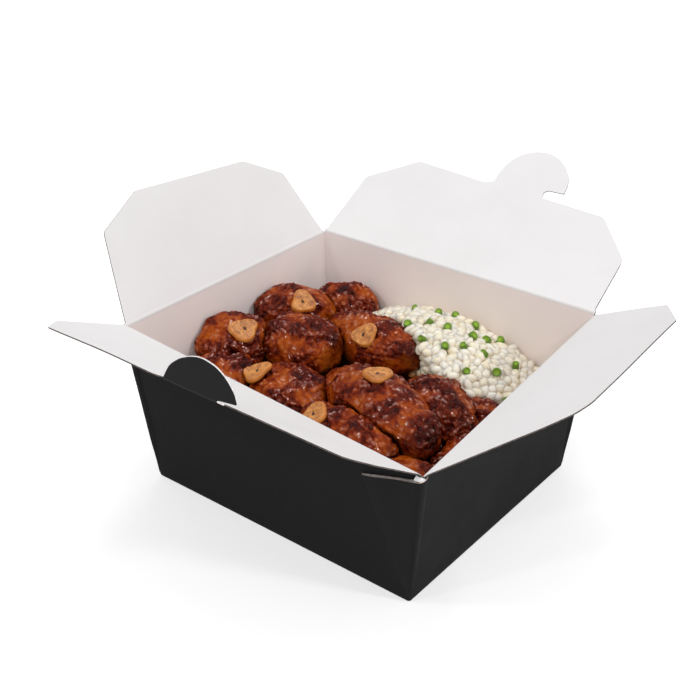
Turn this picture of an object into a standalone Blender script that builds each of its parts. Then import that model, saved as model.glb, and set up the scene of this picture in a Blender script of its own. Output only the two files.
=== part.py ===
"""Open folded takeaway box of coated board, filled with glazed chicken, garlic slices and rice.

Metres, +Z up. The origin is the middle of the base's underside. The long walls face -Y (front)
and +Y (back). Each wall carries a flap on a creased hinge, and the long walls' flaps end in a
hooked tab. Sizes below are in millimetres and become metres through MM.
"""
import math

import bmesh
import bpy
import numpy as np
from mathutils import Matrix, Vector

MM = 0.001

# Box
BASE_X = 114.0
BASE_Y = 97.0
RIM_X = 123.5
RIM_Y = 108.0
HEIGHT = 63.5
BOARD = 0.5
SPLAY = 8.0
SIDE_STEP = 0.8
WALL_CUT = 0.35
FLAP_CUT = 0.55
WALL_STRIPS = 6

# Folded corner webs
WEB_WIDTH = 21.0
WEB_DROP = 11.5
WEB_TOP = 1.2
WEB_STAND = 0.9

# Flaps: rest angle above level, and outline points (along the hinge, away from it)
FLAP_INSET = 0.9
LEFT_ANGLE = 60.0
BACK_ANGLE = 31.0
RIGHT_ANGLE = 28.5
FRONT_ANGLE = 29.0
FRONT_TWIST = 4.0
TAB_BEND = 41.0
TAB_BEND_ARC = 3.0
TAB_SCORES = (36.4, 37.8, 39.6)
TAB_SPAN = (95.0, 55.0)
EDGE_DEPTH = 35.9
EDGE_FROM = 81.0
EDGE_SLOPE = 0.061

# Food
CLEAR = 0.3
FLOOR = BOARD + CLEAR
SAUCE_LEVEL = 33.0
WALL_GAP = 0.6
PIECE_GAP = 0.9
CAVITY = 0.42
RICE_FRONT = (Vector((-38.0, 44.0)), Vector((57.6, -2.0)))
HEAP_TOP = (6.0, 36.0, 48.3)
HEAP_SPREAD = (11.4, 10.75)
GRAIN = (2.6, 1.5, 1.4)
GRAIN_PITCH = 2.8
GRAIN_SEED = 10
GREEN_RADIUS = 1.75
GREEN_LENGTH = 2.6
GARLIC_RADIUS = 4.9
GARLIC_THICK = 2.2
GARLIC_DRAPE = 0.45
SEARCH = 3.5

BLACK = (0.020, 0.020, 0.021)
GLAZE = (0.28, 0.065, 0.012)
GOLD = (0.75, 0.36, 0.07)
DARK_SAUCE = (0.03, 0.008, 0.004)
WARM_WHITE = (0.80, 0.77, 0.70)


def material(name, colour, roughness):
    mat = bpy.data.materials.new(name)
    mat.use_nodes = True
    shader = mat.node_tree.nodes["Principled BSDF"]
    shader.inputs["Base Color"].default_value = (*colour, 1.0)
    shader.inputs["Roughness"].default_value = roughness
    shader.inputs["Metallic"].default_value = 0.0
    return mat


def finish(name, bm, collection, colour, roughness, matrix=None):
    """Turn a bmesh in millimetres into a named object with its own material."""
    bmesh.ops.scale(bm, vec=(MM, MM, MM), verts=bm.verts)
    mesh = bpy.data.meshes.new(name)
    bm.to_mesh(mesh)
    bm.free()
    obj = bpy.data.objects.new(name, mesh)
    collection.objects.link(obj)
    if colour is not None:
        obj.data.materials.append(material(name, colour, roughness))
    if matrix is not None:
        obj.matrix_world = matrix
    return obj


def apply_modifiers(obj):
    """Replace the object's mesh by the one its modifiers give."""
    evaluated = obj.evaluated_get(bpy.context.evaluated_depsgraph_get())
    mesh = bpy.data.meshes.new_from_object(evaluated)
    obj.modifiers.clear()
    obj.data = mesh


# Corners of the box, on the middle of the board's thickness

def rim_corners():
    """Rim corners; the front right one leans out, and drops so that its edge keeps its length."""
    lean_x = (RIM_X - BASE_X) / 2
    lean_y = (RIM_Y - BASE_Y) / 2
    edge = HEIGHT ** 2 + lean_x ** 2 + lean_y ** 2
    drop = math.sqrt(edge - (lean_x + SPLAY) ** 2 - (lean_y + SPLAY) ** 2)
    x, y = RIM_X / 2, RIM_Y / 2
    return {"fl": Vector((-x, -y, HEIGHT)), "fr": Vector((x + SPLAY, -y - SPLAY, drop)),
            "br": Vector((x, y, HEIGHT)), "bl": Vector((-x, y, HEIGHT))}


def base_corners():
    x, y = BASE_X / 2, BASE_Y / 2
    low = BOARD / 2
    return {"fl": Vector((-x, -y, low)), "fr": Vector((x, -y, low)),
            "br": Vector((x, y, low)), "bl": Vector((-x, y, low))}


RIM = rim_corners()
BASE = base_corners()


def on_edge(corner, below):
    """Point on a corner edge, a distance below the rim."""
    edge = BASE[corner] - RIM[corner]
    return RIM[corner] + edge.normalized() * below


def wall_x(side, y, z):
    """Middle plane of the left (-1) or right (+1) wall at a point; the right one is ruled."""
    rise = z / HEIGHT
    splay = SPLAY * (RIM_Y / 2 - y) / RIM_Y if side > 0 else 0.0
    return side * (BASE_X / 2 + rise * ((RIM_X - BASE_X) / 2 + splay))


def wall_y(side, x, z):
    """Middle plane of the front (-1) or back (+1) wall at a point; the front one is ruled."""
    rise = z / HEIGHT
    splay = SPLAY * (x + RIM_X / 2) / RIM_X if side < 0 else 0.0
    return side * (BASE_Y / 2 + rise * ((RIM_Y - BASE_Y) / 2 + splay))


# Tray

def add_panel(bm, low_a, low_b, rows):
    """Grid primitive spread over a panel: a row of points on each pair of corner-edge points."""
    columns = WALL_STRIPS
    grid = bmesh.ops.create_grid(bm, x_segments=columns, y_segments=len(rows), size=0.5)
    for vert in grid["verts"]:
        u = round((vert.co.x + 0.5) * columns) / columns
        row = round((vert.co.y + 0.5) * len(rows))
        start, end = ((low_a, low_b), *rows)[row]
        vert.co = start.lerp(end, u)


def add_web(name, corner, toward, outward, cutters):
    """Corner web: a triangle folded flat against a wall, standing off it at its open top edge."""
    low = BASE[corner] + (RIM[corner] - BASE[corner]) * 0.02
    top = on_edge(corner, WEB_TOP)
    along = (RIM[toward] - RIM[corner]).normalized()
    down = (BASE[corner] - RIM[corner]).normalized()
    tip = RIM[corner] + along * WEB_WIDTH + down * WEB_DROP
    bm = bmesh.new()
    bmesh.ops.create_cone(bm, segments=3, radius1=1, radius2=1, depth=1, cap_ends=True)
    bottom = sorted((v for v in bm.verts if v.co.z < 0), key=lambda v: math.atan2(v.co.y, v.co.x))
    upper = sorted((v for v in bm.verts if v.co.z > 0), key=lambda v: math.atan2(v.co.y, v.co.x))
    stands = (0.35, 0.5, WEB_STAND)
    for inner, outer, point, stand in zip(bottom, upper, (low, top, tip), stands):
        inner.co = point
        outer.co = point + outward * (BOARD / 2 + stand)
    bmesh.ops.recalc_face_normals(bm, faces=bm.faces)
    web = finish(name, bm, cutters, None, 0.5)
    web.hide_render = True
    web.display_type = "WIRE"
    return web


def make_tray(parts, cutters):
    bm = bmesh.new()
    add_panel(bm, BASE["fr"], BASE["fl"], [(BASE["br"], BASE["bl"])])
    low_cut = SIDE_STEP + WALL_CUT
    for left, right in (("fl", "fr"), ("br", "bl")):
        rows = [(on_edge(left, low_cut), on_edge(right, low_cut)),
                (on_edge(left, WALL_CUT), on_edge(right, WALL_CUT))]
        add_panel(bm, BASE[left], BASE[right], rows)
    for left, right in (("bl", "fl"), ("fr", "br")):
        add_panel(bm, BASE[left], BASE[right], [(on_edge(left, low_cut), on_edge(right, low_cut))])
    bmesh.ops.remove_doubles(bm, verts=bm.verts, dist=0.01)
    bmesh.ops.recalc_face_normals(bm, faces=bm.faces)
    tray = finish("tray", bm, parts, BLACK, 0.75)
    shell = tray.modifiers.new("Board", "SOLIDIFY")
    shell.thickness = BOARD * MM
    shell.offset = 0.0
    shell.use_even_offset = True
    apply_modifiers(tray)
    webs = [add_web("web_front", "fr", "fl", Vector((0, -1, 0)), cutters),
            add_web("web_left", "fl", "bl", Vector((-1, 0, 0)), cutters),
            add_web("web_back_left", "bl", "br", Vector((0, 1, 0)), cutters),
            add_web("web_back_right", "br", "bl", Vector((0, 1, 0)), cutters)]
    for web in webs:
        join = tray.modifiers.new(web.name, "BOOLEAN")
        join.operation = "UNION"
        join.object = web
    return tray


# Flaps

def rounded(points, radii, steps=4):
    """Closed outline with its corners turned into arcs of the given radii."""
    outline = []
    count = len(points)
    for i, (point, radius) in enumerate(zip(points, radii)):
        corner = Vector(point)
        if radius <= 0:
            outline.append(corner)
            continue
        back = Vector(points[i - 1]) - corner
        ahead = Vector(points[(i + 1) % count]) - corner
        reach = min(radius, back.length / 2.2, ahead.length / 2.2)
        start = corner + back.normalized() * reach
        end = corner + ahead.normalized() * reach
        for k in range(steps + 1):
            t = k / steps
            outline.append(start.lerp(corner, t).lerp(corner.lerp(end, t), t))
    return outline


def plain_outline(length, near, far, far_end, near_end):
    """Flap with slanted ends: hinge edge, then the four points of its outer edge."""
    points = [(FLAP_INSET, FLAP_CUT), (length - FLAP_INSET, FLAP_CUT), near_end, far_end, far, near]
    return rounded(points, (0, 0, 4.0, 8.0, 1.5, 1.5))


def back_outline(length):
    """Flap whose outer edge carries the hooked tab: a rounded lobe with a slot cut under its hook."""
    points = [(FLAP_INSET, FLAP_CUT), (length - FLAP_INSET, FLAP_CUT), (122.0, 24.0), (106.0, 40.0),
              (81.5, 41.0), (79.2, 43.4), (81.0, 45.4), (86.9, 45.2),
              (84.6, 54.0), (78.0, 60.6), (69.0, 63.4), (61.0, 60.4), (57.6, 52.0),
              (57.0, 43.0), (54.0, 42.5), (21.0, 44.0), (2.0, 30.0)]
    radii = (0, 0, 3.0, 3.0, 0.8, 0.9, 0.8, 0.7, 6.0, 6.0, 6.0, 6.0, 5.0, 2.4, 0, 1.5, 1.5)
    return rounded(points, radii, 2)


def edge_line(u, length):
    """Outer edge of the front flap, where its tab bends up."""
    return EDGE_DEPTH + EDGE_SLOPE * (u - (length - EDGE_FROM))


def front_outline(length):
    """Front flap: the same form, with its tab nearer the left end and leaning towards its hook."""
    base_u, base_v = length - 62.0, edge_line(length - 62.0, length)
    tab = [(-3.5, -0.4), (-0.6, -0.4), (2.2, 2.7), (4.4, 5.7), (8.5, 10.9), (14.8, 16.0), (19.7, 18.5),
           (24.7, 19.6), (28.7, 18.3), (31.0, 14.6), (32.0, 9.1), (31.2, 4.5), (23.5, 3.0), (22.4, 1.9),
           (22.9, 0.8), (24.4, -0.4)]
    radii = (0, 1.6, 1.5, 2.0, 3.5, 3.0, 3.0, 3.0, 3.0, 3.0, 3.0, 0.7, 0.6, 0.5, 0.6, 0.8)
    tab_points = [(base_u - x, base_v - EDGE_SLOPE * x + y) for x, y in tab]
    points = ([(FLAP_INSET, FLAP_CUT), (length - FLAP_INSET, FLAP_CUT), (129.0, 31.0), (119.6, 40.0)]
              + tab_points + [(22.0, 33.6), (5.0, 32.0), (2.0, 22.0)])
    return rounded(points, (0, 0, 2.0, 2.0, *radii, 8.0, 3.0, 2.0), 2)


def flat_sheet(outline):
    """Filled 2D curve as a bmesh."""
    curve = bpy.data.curves.new("outline", "CURVE")
    curve.dimensions = "2D"
    curve.fill_mode = "BOTH"
    spline = curve.splines.new("POLY")
    spline.points.add(len(outline) - 1)
    spline.use_cyclic_u = True
    for target, point in zip(spline.points, outline):
        target.co = (point.x, point.y, 0.0, 1.0)
    holder = bpy.data.objects.new("outline", curve)
    bpy.context.scene.collection.objects.link(holder)
    evaluated = holder.evaluated_get(bpy.context.evaluated_depsgraph_get())
    mesh = bpy.data.meshes.new_from_object(evaluated)
    bpy.data.objects.remove(holder)
    bm = bmesh.new()
    bm.from_mesh(mesh)
    bmesh.ops.remove_doubles(bm, verts=bm.verts, dist=0.001)
    return bm


def cut_along(bm, axis, places):
    """Score the sheet across, so that it can turn there."""
    for place in places:
        point = [0.0, 0.0, 0.0]
        normal = [0.0, 0.0, 0.0]
        point[axis] = place
        normal[axis] = 1.0
        geom = list(bm.verts) + list(bm.edges) + list(bm.faces)
        bmesh.ops.bisect_plane(bm, geom=geom, dist=0.0001, plane_co=point, plane_no=normal)


def hinge_matrix(start, end, angle):
    """Frame of a flap: X along its hinge, Y across the flap, Z out of its inner face."""
    along = (end - start).normalized()
    level = Vector((0, 0, 1)).cross(along).normalized()
    if level.dot(start + end) < 0:
        level = -level
    upward = along.cross(level)
    turn = math.radians(angle)
    across = level * math.cos(turn) + upward * math.sin(turn)
    face = along.cross(across)
    matrix = Matrix((along, across, face)).transposed().to_4x4()
    matrix.translation = start * MM
    return matrix


def hinge_ends(first, second, step):
    """Crease line between two rim corners; the short walls' creases lie a step lower."""
    return on_edge(first, step), on_edge(second, step)


def make_flap(name, corners, step, angle, outline_of, parts, twist=0.0, bend=0.0):
    start, end = hinge_ends(*corners, step)
    length = (end - start).length
    bm = flat_sheet(outline_of(length))
    if twist:
        cut_along(bm, 0, [length * k / 4 for k in range(1, 4)])
    if bend:
        cut_along(bm, 1, TAB_SCORES)
    for vert in bm.verts:
        u, v = vert.co.x, vert.co.y
        lift = 0.0
        over = v - edge_line(u, length)
        if bend and over > 0 and length - TAB_SPAN[0] < u < length - TAB_SPAN[1]:
            turn = math.radians(bend)
            radius = TAB_BEND_ARC / turn
            bent = min(over, TAB_BEND_ARC) / radius
            rest = max(over - TAB_BEND_ARC, 0.0)
            v = v - over + radius * math.sin(bent) + rest * math.cos(bent)
            lift = radius * (1 - math.cos(bent)) + rest * math.sin(bent)
        tilt = math.radians(twist) * (1 - 2 * u / length)
        across = v * math.cos(tilt) - lift * math.sin(tilt)
        out = v * math.sin(tilt) + lift * math.cos(tilt)
        vert.co = Vector((u, across, out))
    flap = finish(name, bm, parts, BLACK, 0.75, hinge_matrix(start, end, angle))
    sheet = flap.modifiers.new("Board", "SOLIDIFY")
    sheet.thickness = BOARD * MM
    sheet.offset = 0.0
    return flap


def make_flaps(parts):
    def left(length):
        return plain_outline(length, (9.0, 31.0), (29.0, 41.0), (81.0, 37.0), (99.0, 27.5))

    def right(length):
        return plain_outline(length, (9.0, 31.5), (27.5, 41.5), (82.5, 38.5), (96.5, 28.5))

    make_flap("flap_left", ("fl", "bl"), SIDE_STEP, LEFT_ANGLE, left, parts)
    make_flap("flap_back", ("bl", "br"), 0.0, BACK_ANGLE, back_outline, parts)
    make_flap("flap_right", ("br", "fr"), SIDE_STEP, RIGHT_ANGLE, right, parts)
    make_flap("flap_front", ("fr", "fl"), 0.0, FRONT_ANGLE, front_outline, parts, FRONT_TWIST, TAB_BEND)


# Chicken: centre, half length, half width, half height, yaw in degrees
CHICKEN = (
    ("chicken_01", (-40.0, 41.0, 38.8), (14.0, 12.0, 10.8), 36.0),
    ("chicken_02", (-50.0, 21.0, 42.0), (16.5, 13.5, 11.2), 38.0),
    ("chicken_03", (-51.5, -12.0, 43.2), (15.0, 14.0, 9.8), 28.0),
    ("chicken_04", (-31.0, 3.0, 41.8), (15.5, 14.5, 11.5), 22.0),
    ("chicken_05", (-13.0, 24.0, 40.3), (22.5, 12.5, 10.3), -9.0),
    ("chicken_06", (18.0, -14.5, 40.0), (30.5, 14.5, 12.5), -18.0),
    ("chicken_07", (-17.5, -20.0, 35.5), (18.0, 13.0, 9.8), 12.0),
    ("chicken_08", (-41.0, -28.0, 36.0), (15.0, 13.5, 9.8), -2.0),
    ("chicken_09", (18.3, -30.5, 36.3), (22.5, 12.5, 10.4), -5.0),
    ("chicken_10", (30.5, 3.0, 37.0), (18.5, 12.0, 10.0), -32.0),
    ("chicken_11", (44.0, 12.5, 32.5), (11.0, 9.0, 6.8), -23.0),
    ("chicken_12", (48.5, -39.0, 34.0), (15.5, 13.5, 9.2), -20.0),
    ("chicken_13", (-34.0, -45.0, 33.5), (17.5, 11.0, 9.6), 3.0),
    ("chicken_14", (-7.0, -43.5, 33.5), (16.0, 11.5, 9.6), 0.0),
    ("chicken_15", (55.0, -13.0, 34.0), (15.5, 9.5, 9.2), 85.0),
)
LOBES = 7
LOBE_WIDTH = 5.0
MARCH = 48
NEAR = 60.0


class Lump:
    """A star-shaped piece: an ellipsoid whose radius swells over a few seeded lobes."""

    def __init__(self, index, centre, half, yaw):
        self.centre = np.array(centre)
        self.half = np.array(half)
        turn = math.radians(yaw)
        self.turn = np.array([[math.cos(turn), math.sin(turn), 0],
                              [-math.sin(turn), math.cos(turn), 0], [0, 0, 1]])
        rng = np.random.default_rng(40 + index)
        lobes = rng.normal(size=(LOBES, 3))
        self.lobes = lobes / np.linalg.norm(lobes, axis=1, keepdims=True)
        self.swell = rng.uniform(-0.09, 0.11, LOBES)

    def radius(self, directions):
        """Unit radius plus, for each lobe, a bell-shaped swelling round its direction."""
        near = directions @ self.lobes.T
        return 1.0 + (self.swell * np.exp((near - 1.0) * LOBE_WIDTH)).sum(axis=-1)

    def depth(self, points):
        """0 at the centre, 1 on the surface."""
        local = (points - self.centre) @ self.turn.T / self.half
        size = np.linalg.norm(local, axis=-1)
        directions = local / np.maximum(size, 1e-6)[..., None]
        return size / self.radius(directions)

    def place(self, directions, share):
        """Point along each direction, at a share of the way to the free surface."""
        reach = self.radius(directions)[:, None] * share[:, None]
        return self.centre + (directions * reach * self.half) @ self.turn


LUMPS = [Lump(i, *spec[1:]) for i, spec in enumerate(CHICKEN)]


def room(points):
    """Distance inside the box walls, less the gap to them."""
    x, y, z = points[..., 0], points[..., 1], points[..., 2]
    gap = BOARD / 2 + WALL_GAP
    splay_x = SPLAY * (RIM_Y / 2 - y) / RIM_Y
    splay_y = SPLAY * (x + RIM_X / 2) / RIM_X
    rise = z / HEIGHT
    right = BASE_X / 2 + rise * ((RIM_X - BASE_X) / 2 + splay_x) - x
    left = BASE_X / 2 + rise * (RIM_X - BASE_X) / 2 + x
    back = BASE_Y / 2 + rise * (RIM_Y - BASE_Y) / 2 - y
    front = BASE_Y / 2 + rise * ((RIM_Y - BASE_Y) / 2 + splay_y) + y
    return np.minimum.reduce([right, left, back, front]) - gap


def shares(index, directions):
    """How far each direction may reach: to the surface, a wall, or half way to a neighbour."""
    lump = LUMPS[index]
    steps = np.linspace(0.02, 1.0, MARCH)
    margins = []
    for step in steps:
        points = lump.place(directions, np.full(len(directions), step))
        own = lump.depth(points)
        spare = room(points)
        for other in LUMPS:
            if other is lump or np.linalg.norm(other.centre - lump.centre) > NEAR:
                continue
            scale = 0.5 * (min(lump.half) + min(other.half))
            spare = np.minimum(spare, (other.depth(points) - own) * scale - PIECE_GAP)
        margins.append(spare)
    margins = np.array(margins)
    result = np.ones(len(directions))
    for k in range(MARCH - 1, 0, -1):
        bad = margins[k] < 0
        before = np.maximum(margins[k - 1], 0.0)
        part = before / np.maximum(before - margins[k], 1e-9)
        result[bad] = (steps[k - 1] + part * (steps[k] - steps[k - 1]))[bad]
    return result


def make_lump(name, index, collection, colour, inflate=0.0):
    bm = bmesh.new()
    bmesh.ops.create_uvsphere(bm, u_segments=14, v_segments=11, radius=1.0)
    directions = np.array([vert.co.normalized()[:] for vert in bm.verts])
    points = LUMPS[index].place(directions, shares(index, directions))
    for vert, point in zip(bm.verts, points):
        vert.co = point
    bmesh.ops.triangulate(bm, faces=bm.faces)
    bm.normal_update()
    if inflate:
        moved = [vert.co + vert.normal * inflate for vert in bm.verts]
        for vert, place in zip(bm.verts, moved):
            vert.co = place
    return finish(name, bm, collection, colour, 0.3)


def make_chicken(parts, cavities):
    for index, spec in enumerate(CHICKEN):
        make_lump(spec[0], index, parts, GLAZE)
        cavity = make_lump("cavity_" + spec[0], index, cavities, None, CAVITY)
        cavity.hide_render = True
        cavity.display_type = "WIRE"


# Garlic slices: host piece, direction from its centre, turn of the outline
GARLIC = (
    ("garlic_01", 2, (0.42, -0.42, 0.805), 20.0),
    ("garlic_02", 1, (0.209, -0.642, 0.737), 150.0),
    ("garlic_03", 4, (0.20, -0.708, 0.678), 200.0),
    ("garlic_04", 6, (-0.49, -0.30, 0.82), 95.0),
    ("garlic_05", 5, (-0.055, 0.064, 0.996), 10.0),
    ("garlic_06", 8, (-0.437, -0.473, 0.765), 260.0),
)


def garlic_radius(angle):
    """Rounded triangle: a circle drawn in a little on three sides, one of them more."""
    return GARLIC_RADIUS * (1.0 + 0.10 * np.cos(3 * angle) - 0.06 * np.cos(angle))


def lift_over(points, normal):
    """Height along the normal at which each point clears every piece."""
    lift = np.zeros(len(points))
    for height in np.arange(-SEARCH, SEARCH, 0.05):
        inside = np.zeros(len(points), dtype=bool)
        for lump in LUMPS:
            inside |= lump.depth(points + normal * height) < 1.0
        lift[inside] = height + 0.05
    return lift


def make_garlic(parts):
    for name, host, direction, turn in GARLIC:
        lump = LUMPS[host]
        aim = np.array(direction) / np.linalg.norm(direction)
        centre = lump.place(aim[None], np.ones(1))[0]
        normal = (aim / lump.half) @ lump.turn
        normal /= np.linalg.norm(normal)
        side = np.cross((0.0, 0.0, 1.0), normal)
        side /= np.linalg.norm(side)
        other = np.cross(normal, side)
        bm = bmesh.new()
        bmesh.ops.create_cone(bm, segments=18, radius1=1, radius2=1, depth=2, cap_ends=True, cap_tris=True)
        bmesh.ops.bevel(bm, geom=[e for e in bm.edges if e.is_manifold and e.calc_face_angle() > 1.2],
                        offset=0.12, segments=1, affect="EDGES")
        flat = np.array([vert.co[:] for vert in bm.verts])
        angle = np.arctan2(flat[:, 1], flat[:, 0])
        spread = np.hypot(flat[:, 0], flat[:, 1]) * garlic_radius(angle)
        spin = angle + math.radians(turn)
        planar = centre + np.outer(spread * np.cos(spin), side) + np.outer(spread * np.sin(spin), other)
        lift = lift_over(planar, normal)
        lift = GARLIC_DRAPE * lift + (1 - GARLIC_DRAPE) * lift.max() + CLEAR
        height = lift + (flat[:, 2] + 1.0) / 2 * GARLIC_THICK
        points = planar + height[:, None] * normal
        for vert, point in zip(bm.verts, points):
            vert.co = point
        finish(name, bm, parts, GOLD, 0.4)


# Sauce

def sauce_outline(z):
    """Corners and wall points of the sauce at a height, seen from above, turning left."""
    gap = BOARD / 2 + WALL_GAP
    start, end = RICE_FRONT
    strips = 5
    left = wall_x(-1, 0, z) + gap
    points = []
    right_front = wall_x(1, wall_y(-1, RIM_X / 2, z) + gap, z) - gap
    for k in range(strips + 1):
        x = left + (right_front - left) * k / strips
        points.append((x, wall_y(-1, x, z) + gap))
    last = points[-1][1]
    for k in range(1, strips):
        y = last + (end.y - CLEAR - last) * k / strips
        points.append((wall_x(1, y, z) - gap, y))
    points.append((wall_x(1, end.y, z) - gap, end.y - CLEAR))
    points.append((start.x - CLEAR, start.y - CLEAR))
    back = wall_y(1, 0, z) - gap
    points.append((start.x - CLEAR, back))
    points.append((left, back))
    return points


def make_sauce(parts, cavities):
    count = len(sauce_outline(0))
    bm = bmesh.new()
    bmesh.ops.create_cone(bm, segments=count, radius1=1, radius2=1, depth=2, cap_ends=True)
    rings = [sorted((v for v in bm.verts if v.co.z * side > 0), key=lambda v: math.atan2(v.co.y, v.co.x))
             for side in (-1, 1)]
    for ring, z in zip(rings, (FLOOR, SAUCE_LEVEL)):
        for vert, (x, y) in zip(ring, sauce_outline(z)):
            vert.co = Vector((x, y, z))
    bmesh.ops.recalc_face_normals(bm, faces=bm.faces)
    sauce = finish("sauce", bm, parts, DARK_SAUCE, 0.15)
    cut_out(sauce, cavities)
    return sauce


def cut_out(obj, cavities):
    """Cut the food pieces' cavities out of an object, and keep its largest body."""
    for cavity in cavities.objects:
        cut = obj.modifiers.new(cavity.name, "BOOLEAN")
        cut.operation = "DIFFERENCE"
        cut.object = cavity
    apply_modifiers(obj)
    keep_largest(obj)


def keep_largest(obj):
    """Drop the loose scraps and sealed hollows that a Boolean leaves."""
    bm = bmesh.new()
    bm.from_mesh(obj.data)
    bodies = []
    seen = set()
    for start in bm.faces:
        if start in seen:
            continue
        body = {start}
        ahead = [start]
        while ahead:
            face = ahead.pop()
            near = {other for edge in face.edges for other in edge.link_faces} - body
            body |= near
            ahead.extend(near)
        seen |= body
        bodies.append(body)
    largest = max(bodies, key=len)
    scraps = [face for body in bodies if body is not largest for face in body]
    bmesh.ops.delete(bm, geom=scraps, context="FACES")
    bm.to_mesh(obj.data)
    bm.free()


# Rice

GREENS = ((-12.4, 33.3), (-9.3, 45.2), (-1.9, 30.3), (4.4, 35.5), (7.9, 47.0), (11.6, 36.7), (17.2, 46.8),
          (21.2, 38.9), (25.6, 41.7), (28.2, 47.2), (22.5, 31.1), (17.6, 26.2), (8.6, 24.6), (29.5, 33.8),
          (39.3, 40.1), (37.2, 30.6), (29.8, 22.0), (46.0, 24.0))


def heap_height(x, y):
    """Top of the bare heap: a dome falling away from its highest place."""
    top_x, top_y, top = HEAP_TOP
    spread_x, spread_y = HEAP_SPREAD
    dome = top - ((x - top_x) / spread_x) ** 2 - ((y - top_y) / spread_y) ** 2
    return max(dome, 31.0 + 0.15 * (dome - 31.0))


def rice_place(s, t, z):
    """Footprint of the heap: s runs along its front line, t from that line back to the walls."""
    gap = BOARD / 2 + WALL_GAP
    start, end = RICE_FRONT
    front_right = (wall_x(1, end.y, z) - gap, end.y)
    back = wall_y(1, 0, z) - gap
    back_right = (wall_x(1, back, z) - gap, back)
    front = (start.x + (front_right[0] - start.x) * s, start.y + (front_right[1] - start.y) * s)
    rear = (start.x + (back_right[0] - start.x) * s, back)
    return front[0] + (rear[0] - front[0]) * t, front[1] + (rear[1] - front[1]) * t


def rice_core(collection):
    bm = bmesh.new()
    grid = bmesh.ops.create_grid(bm, x_segments=12, y_segments=6, size=0.5)
    raised = bmesh.ops.extrude_face_region(bm, geom=list(bm.faces))
    top = {v for v in raised["geom"] if isinstance(v, bmesh.types.BMVert)}
    for vert in bm.verts:
        s, t = vert.co.x + 0.5, vert.co.y + 0.5
        if vert in top:
            x, y = rice_place(s, t, 40.0)
            z = heap_height(x, y)
            x, y = rice_place(s, t, z)
        else:
            z = FLOOR
            x, y = rice_place(s, t, z)
        vert.co = Vector((x, y, z))
    floor = [f for f in bm.faces if all(v not in top for v in f.verts)]
    bmesh.ops.dissolve_faces(bm, faces=floor)
    bmesh.ops.recalc_face_normals(bm, faces=bm.faces)
    return finish("rice", bm, collection, WARM_WHITE, 0.35)


def clear_of_pieces(points, reach):
    points = np.array(points)
    if room(points).min() < reach:
        return False
    return all(((lump.depth(points) - 1.0) * lump.half.min()).min() > reach for lump in LUMPS)


def add_grain(name, place, tilt, half, fused, segments, rings):
    bm = bmesh.new()
    bmesh.ops.create_uvsphere(bm, u_segments=segments, v_segments=rings, radius=1.0)
    turn = Matrix.Rotation(tilt[0], 4, "Z") @ Matrix.Rotation(tilt[1], 4, "Y")
    shape = Matrix.Diagonal((half[2], half[1], half[0], 1.0))
    lie = Matrix.Rotation(math.pi / 2, 4, "Y")
    bm.transform(Matrix.Translation(place) @ turn @ lie @ shape)
    bmesh.ops.recalc_face_normals(bm, faces=bm.faces)
    return finish(name, bm, fused, None, 0.4)


def rod(place, yaw, half):
    """Three points along a grain's middle, for the distance to its neighbours."""
    along = np.array((math.cos(yaw), math.sin(yaw), 0.0)) * half
    return np.array((place - along, place, place + along))


def far_from(rods, points, reach):
    """True where no grain laid before comes nearer than a reach."""
    if not rods:
        return True
    laid = np.concatenate(rods)
    gaps = np.linalg.norm(laid[:, None, :2] - points[None, :, :2], axis=-1)
    return gaps.min() > reach


def lay_grains(fused):
    """Green pieces at their places, then grains wherever a jittered grid leaves them room."""
    rng = np.random.default_rng(GRAIN_SEED)
    rods = []
    for k, (x, y) in enumerate(GREENS):
        place = np.array((x, y, heap_height(x, y) + 0.9))
        if clear_of_pieces((place,), GREEN_RADIUS + CLEAR):
            half = (GREEN_LENGTH / 2, GREEN_RADIUS, GREEN_RADIUS)
            add_grain(f"green_{k:02d}", place, (rng.uniform(0.0, math.pi), 0.2), half, fused, 6, 4)
            rods.append(rod(place, 0.0, 0.2))
    start, end = RICE_FRONT
    rows = int(60.0 / GRAIN_PITCH)
    for row in range(rows):
        for column in range(int(104.0 / GRAIN_PITCH)):
            wobble = rng.uniform(-0.6, 0.6, 2)
            yaw, pitch = rng.uniform(0.0, math.pi), rng.uniform(-0.3, 0.3)
            x = start.x + (column + 0.5 * (row % 2)) * GRAIN_PITCH + wobble[0]
            y = row * GRAIN_PITCH * 0.87 + wobble[1] - 2.0
            line = start.y + (end.y - start.y) * (x - start.x) / (end.x - start.x)
            place = np.array((x, y, heap_height(x, y) + 0.55))
            points = rod(place, yaw, GRAIN[0] - 1.0)
            if y < line + 2.6 or x < start.x + 3.0 or not far_from(rods, points, 2 * GRAIN[1] + 0.25):
                continue
            if clear_of_pieces(points, GRAIN[1] + CLEAR):
                add_grain(f"grain_{len(rods):03d}", place, (yaw, pitch), GRAIN, fused, 5, 4)
                rods.append(points)


def make_rice(parts, cavities):
    core = rice_core(parts)
    cut_out(core, cavities)
    fused = bpy.data.collections.new("grains")
    bpy.context.scene.collection.children.link(fused)
    lay_grains(fused)
    join = core.modifiers.new("Grains", "BOOLEAN")
    join.operation = "UNION"
    join.operand_type = "COLLECTION"
    join.collection = fused
    apply_modifiers(core)
    for grain in list(fused.objects):
        bpy.data.objects.remove(grain)
    bpy.data.collections.remove(fused)
    keep_largest(core)


def main():
    for obj in list(bpy.data.objects):
        bpy.data.objects.remove(obj)
    parts = bpy.data.collections.new("takeaway_box")
    cutters = bpy.data.collections.new("cutters")
    cavities = bpy.data.collections.new("cavities")
    for collection in (parts, cutters, cavities):
        bpy.context.scene.collection.children.link(collection)
    make_tray(parts, cutters)
    make_flaps(parts)
    make_chicken(parts, cavities)
    make_garlic(parts)
    make_sauce(parts, cavities)
    make_rice(parts, cavities)


main()
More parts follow.
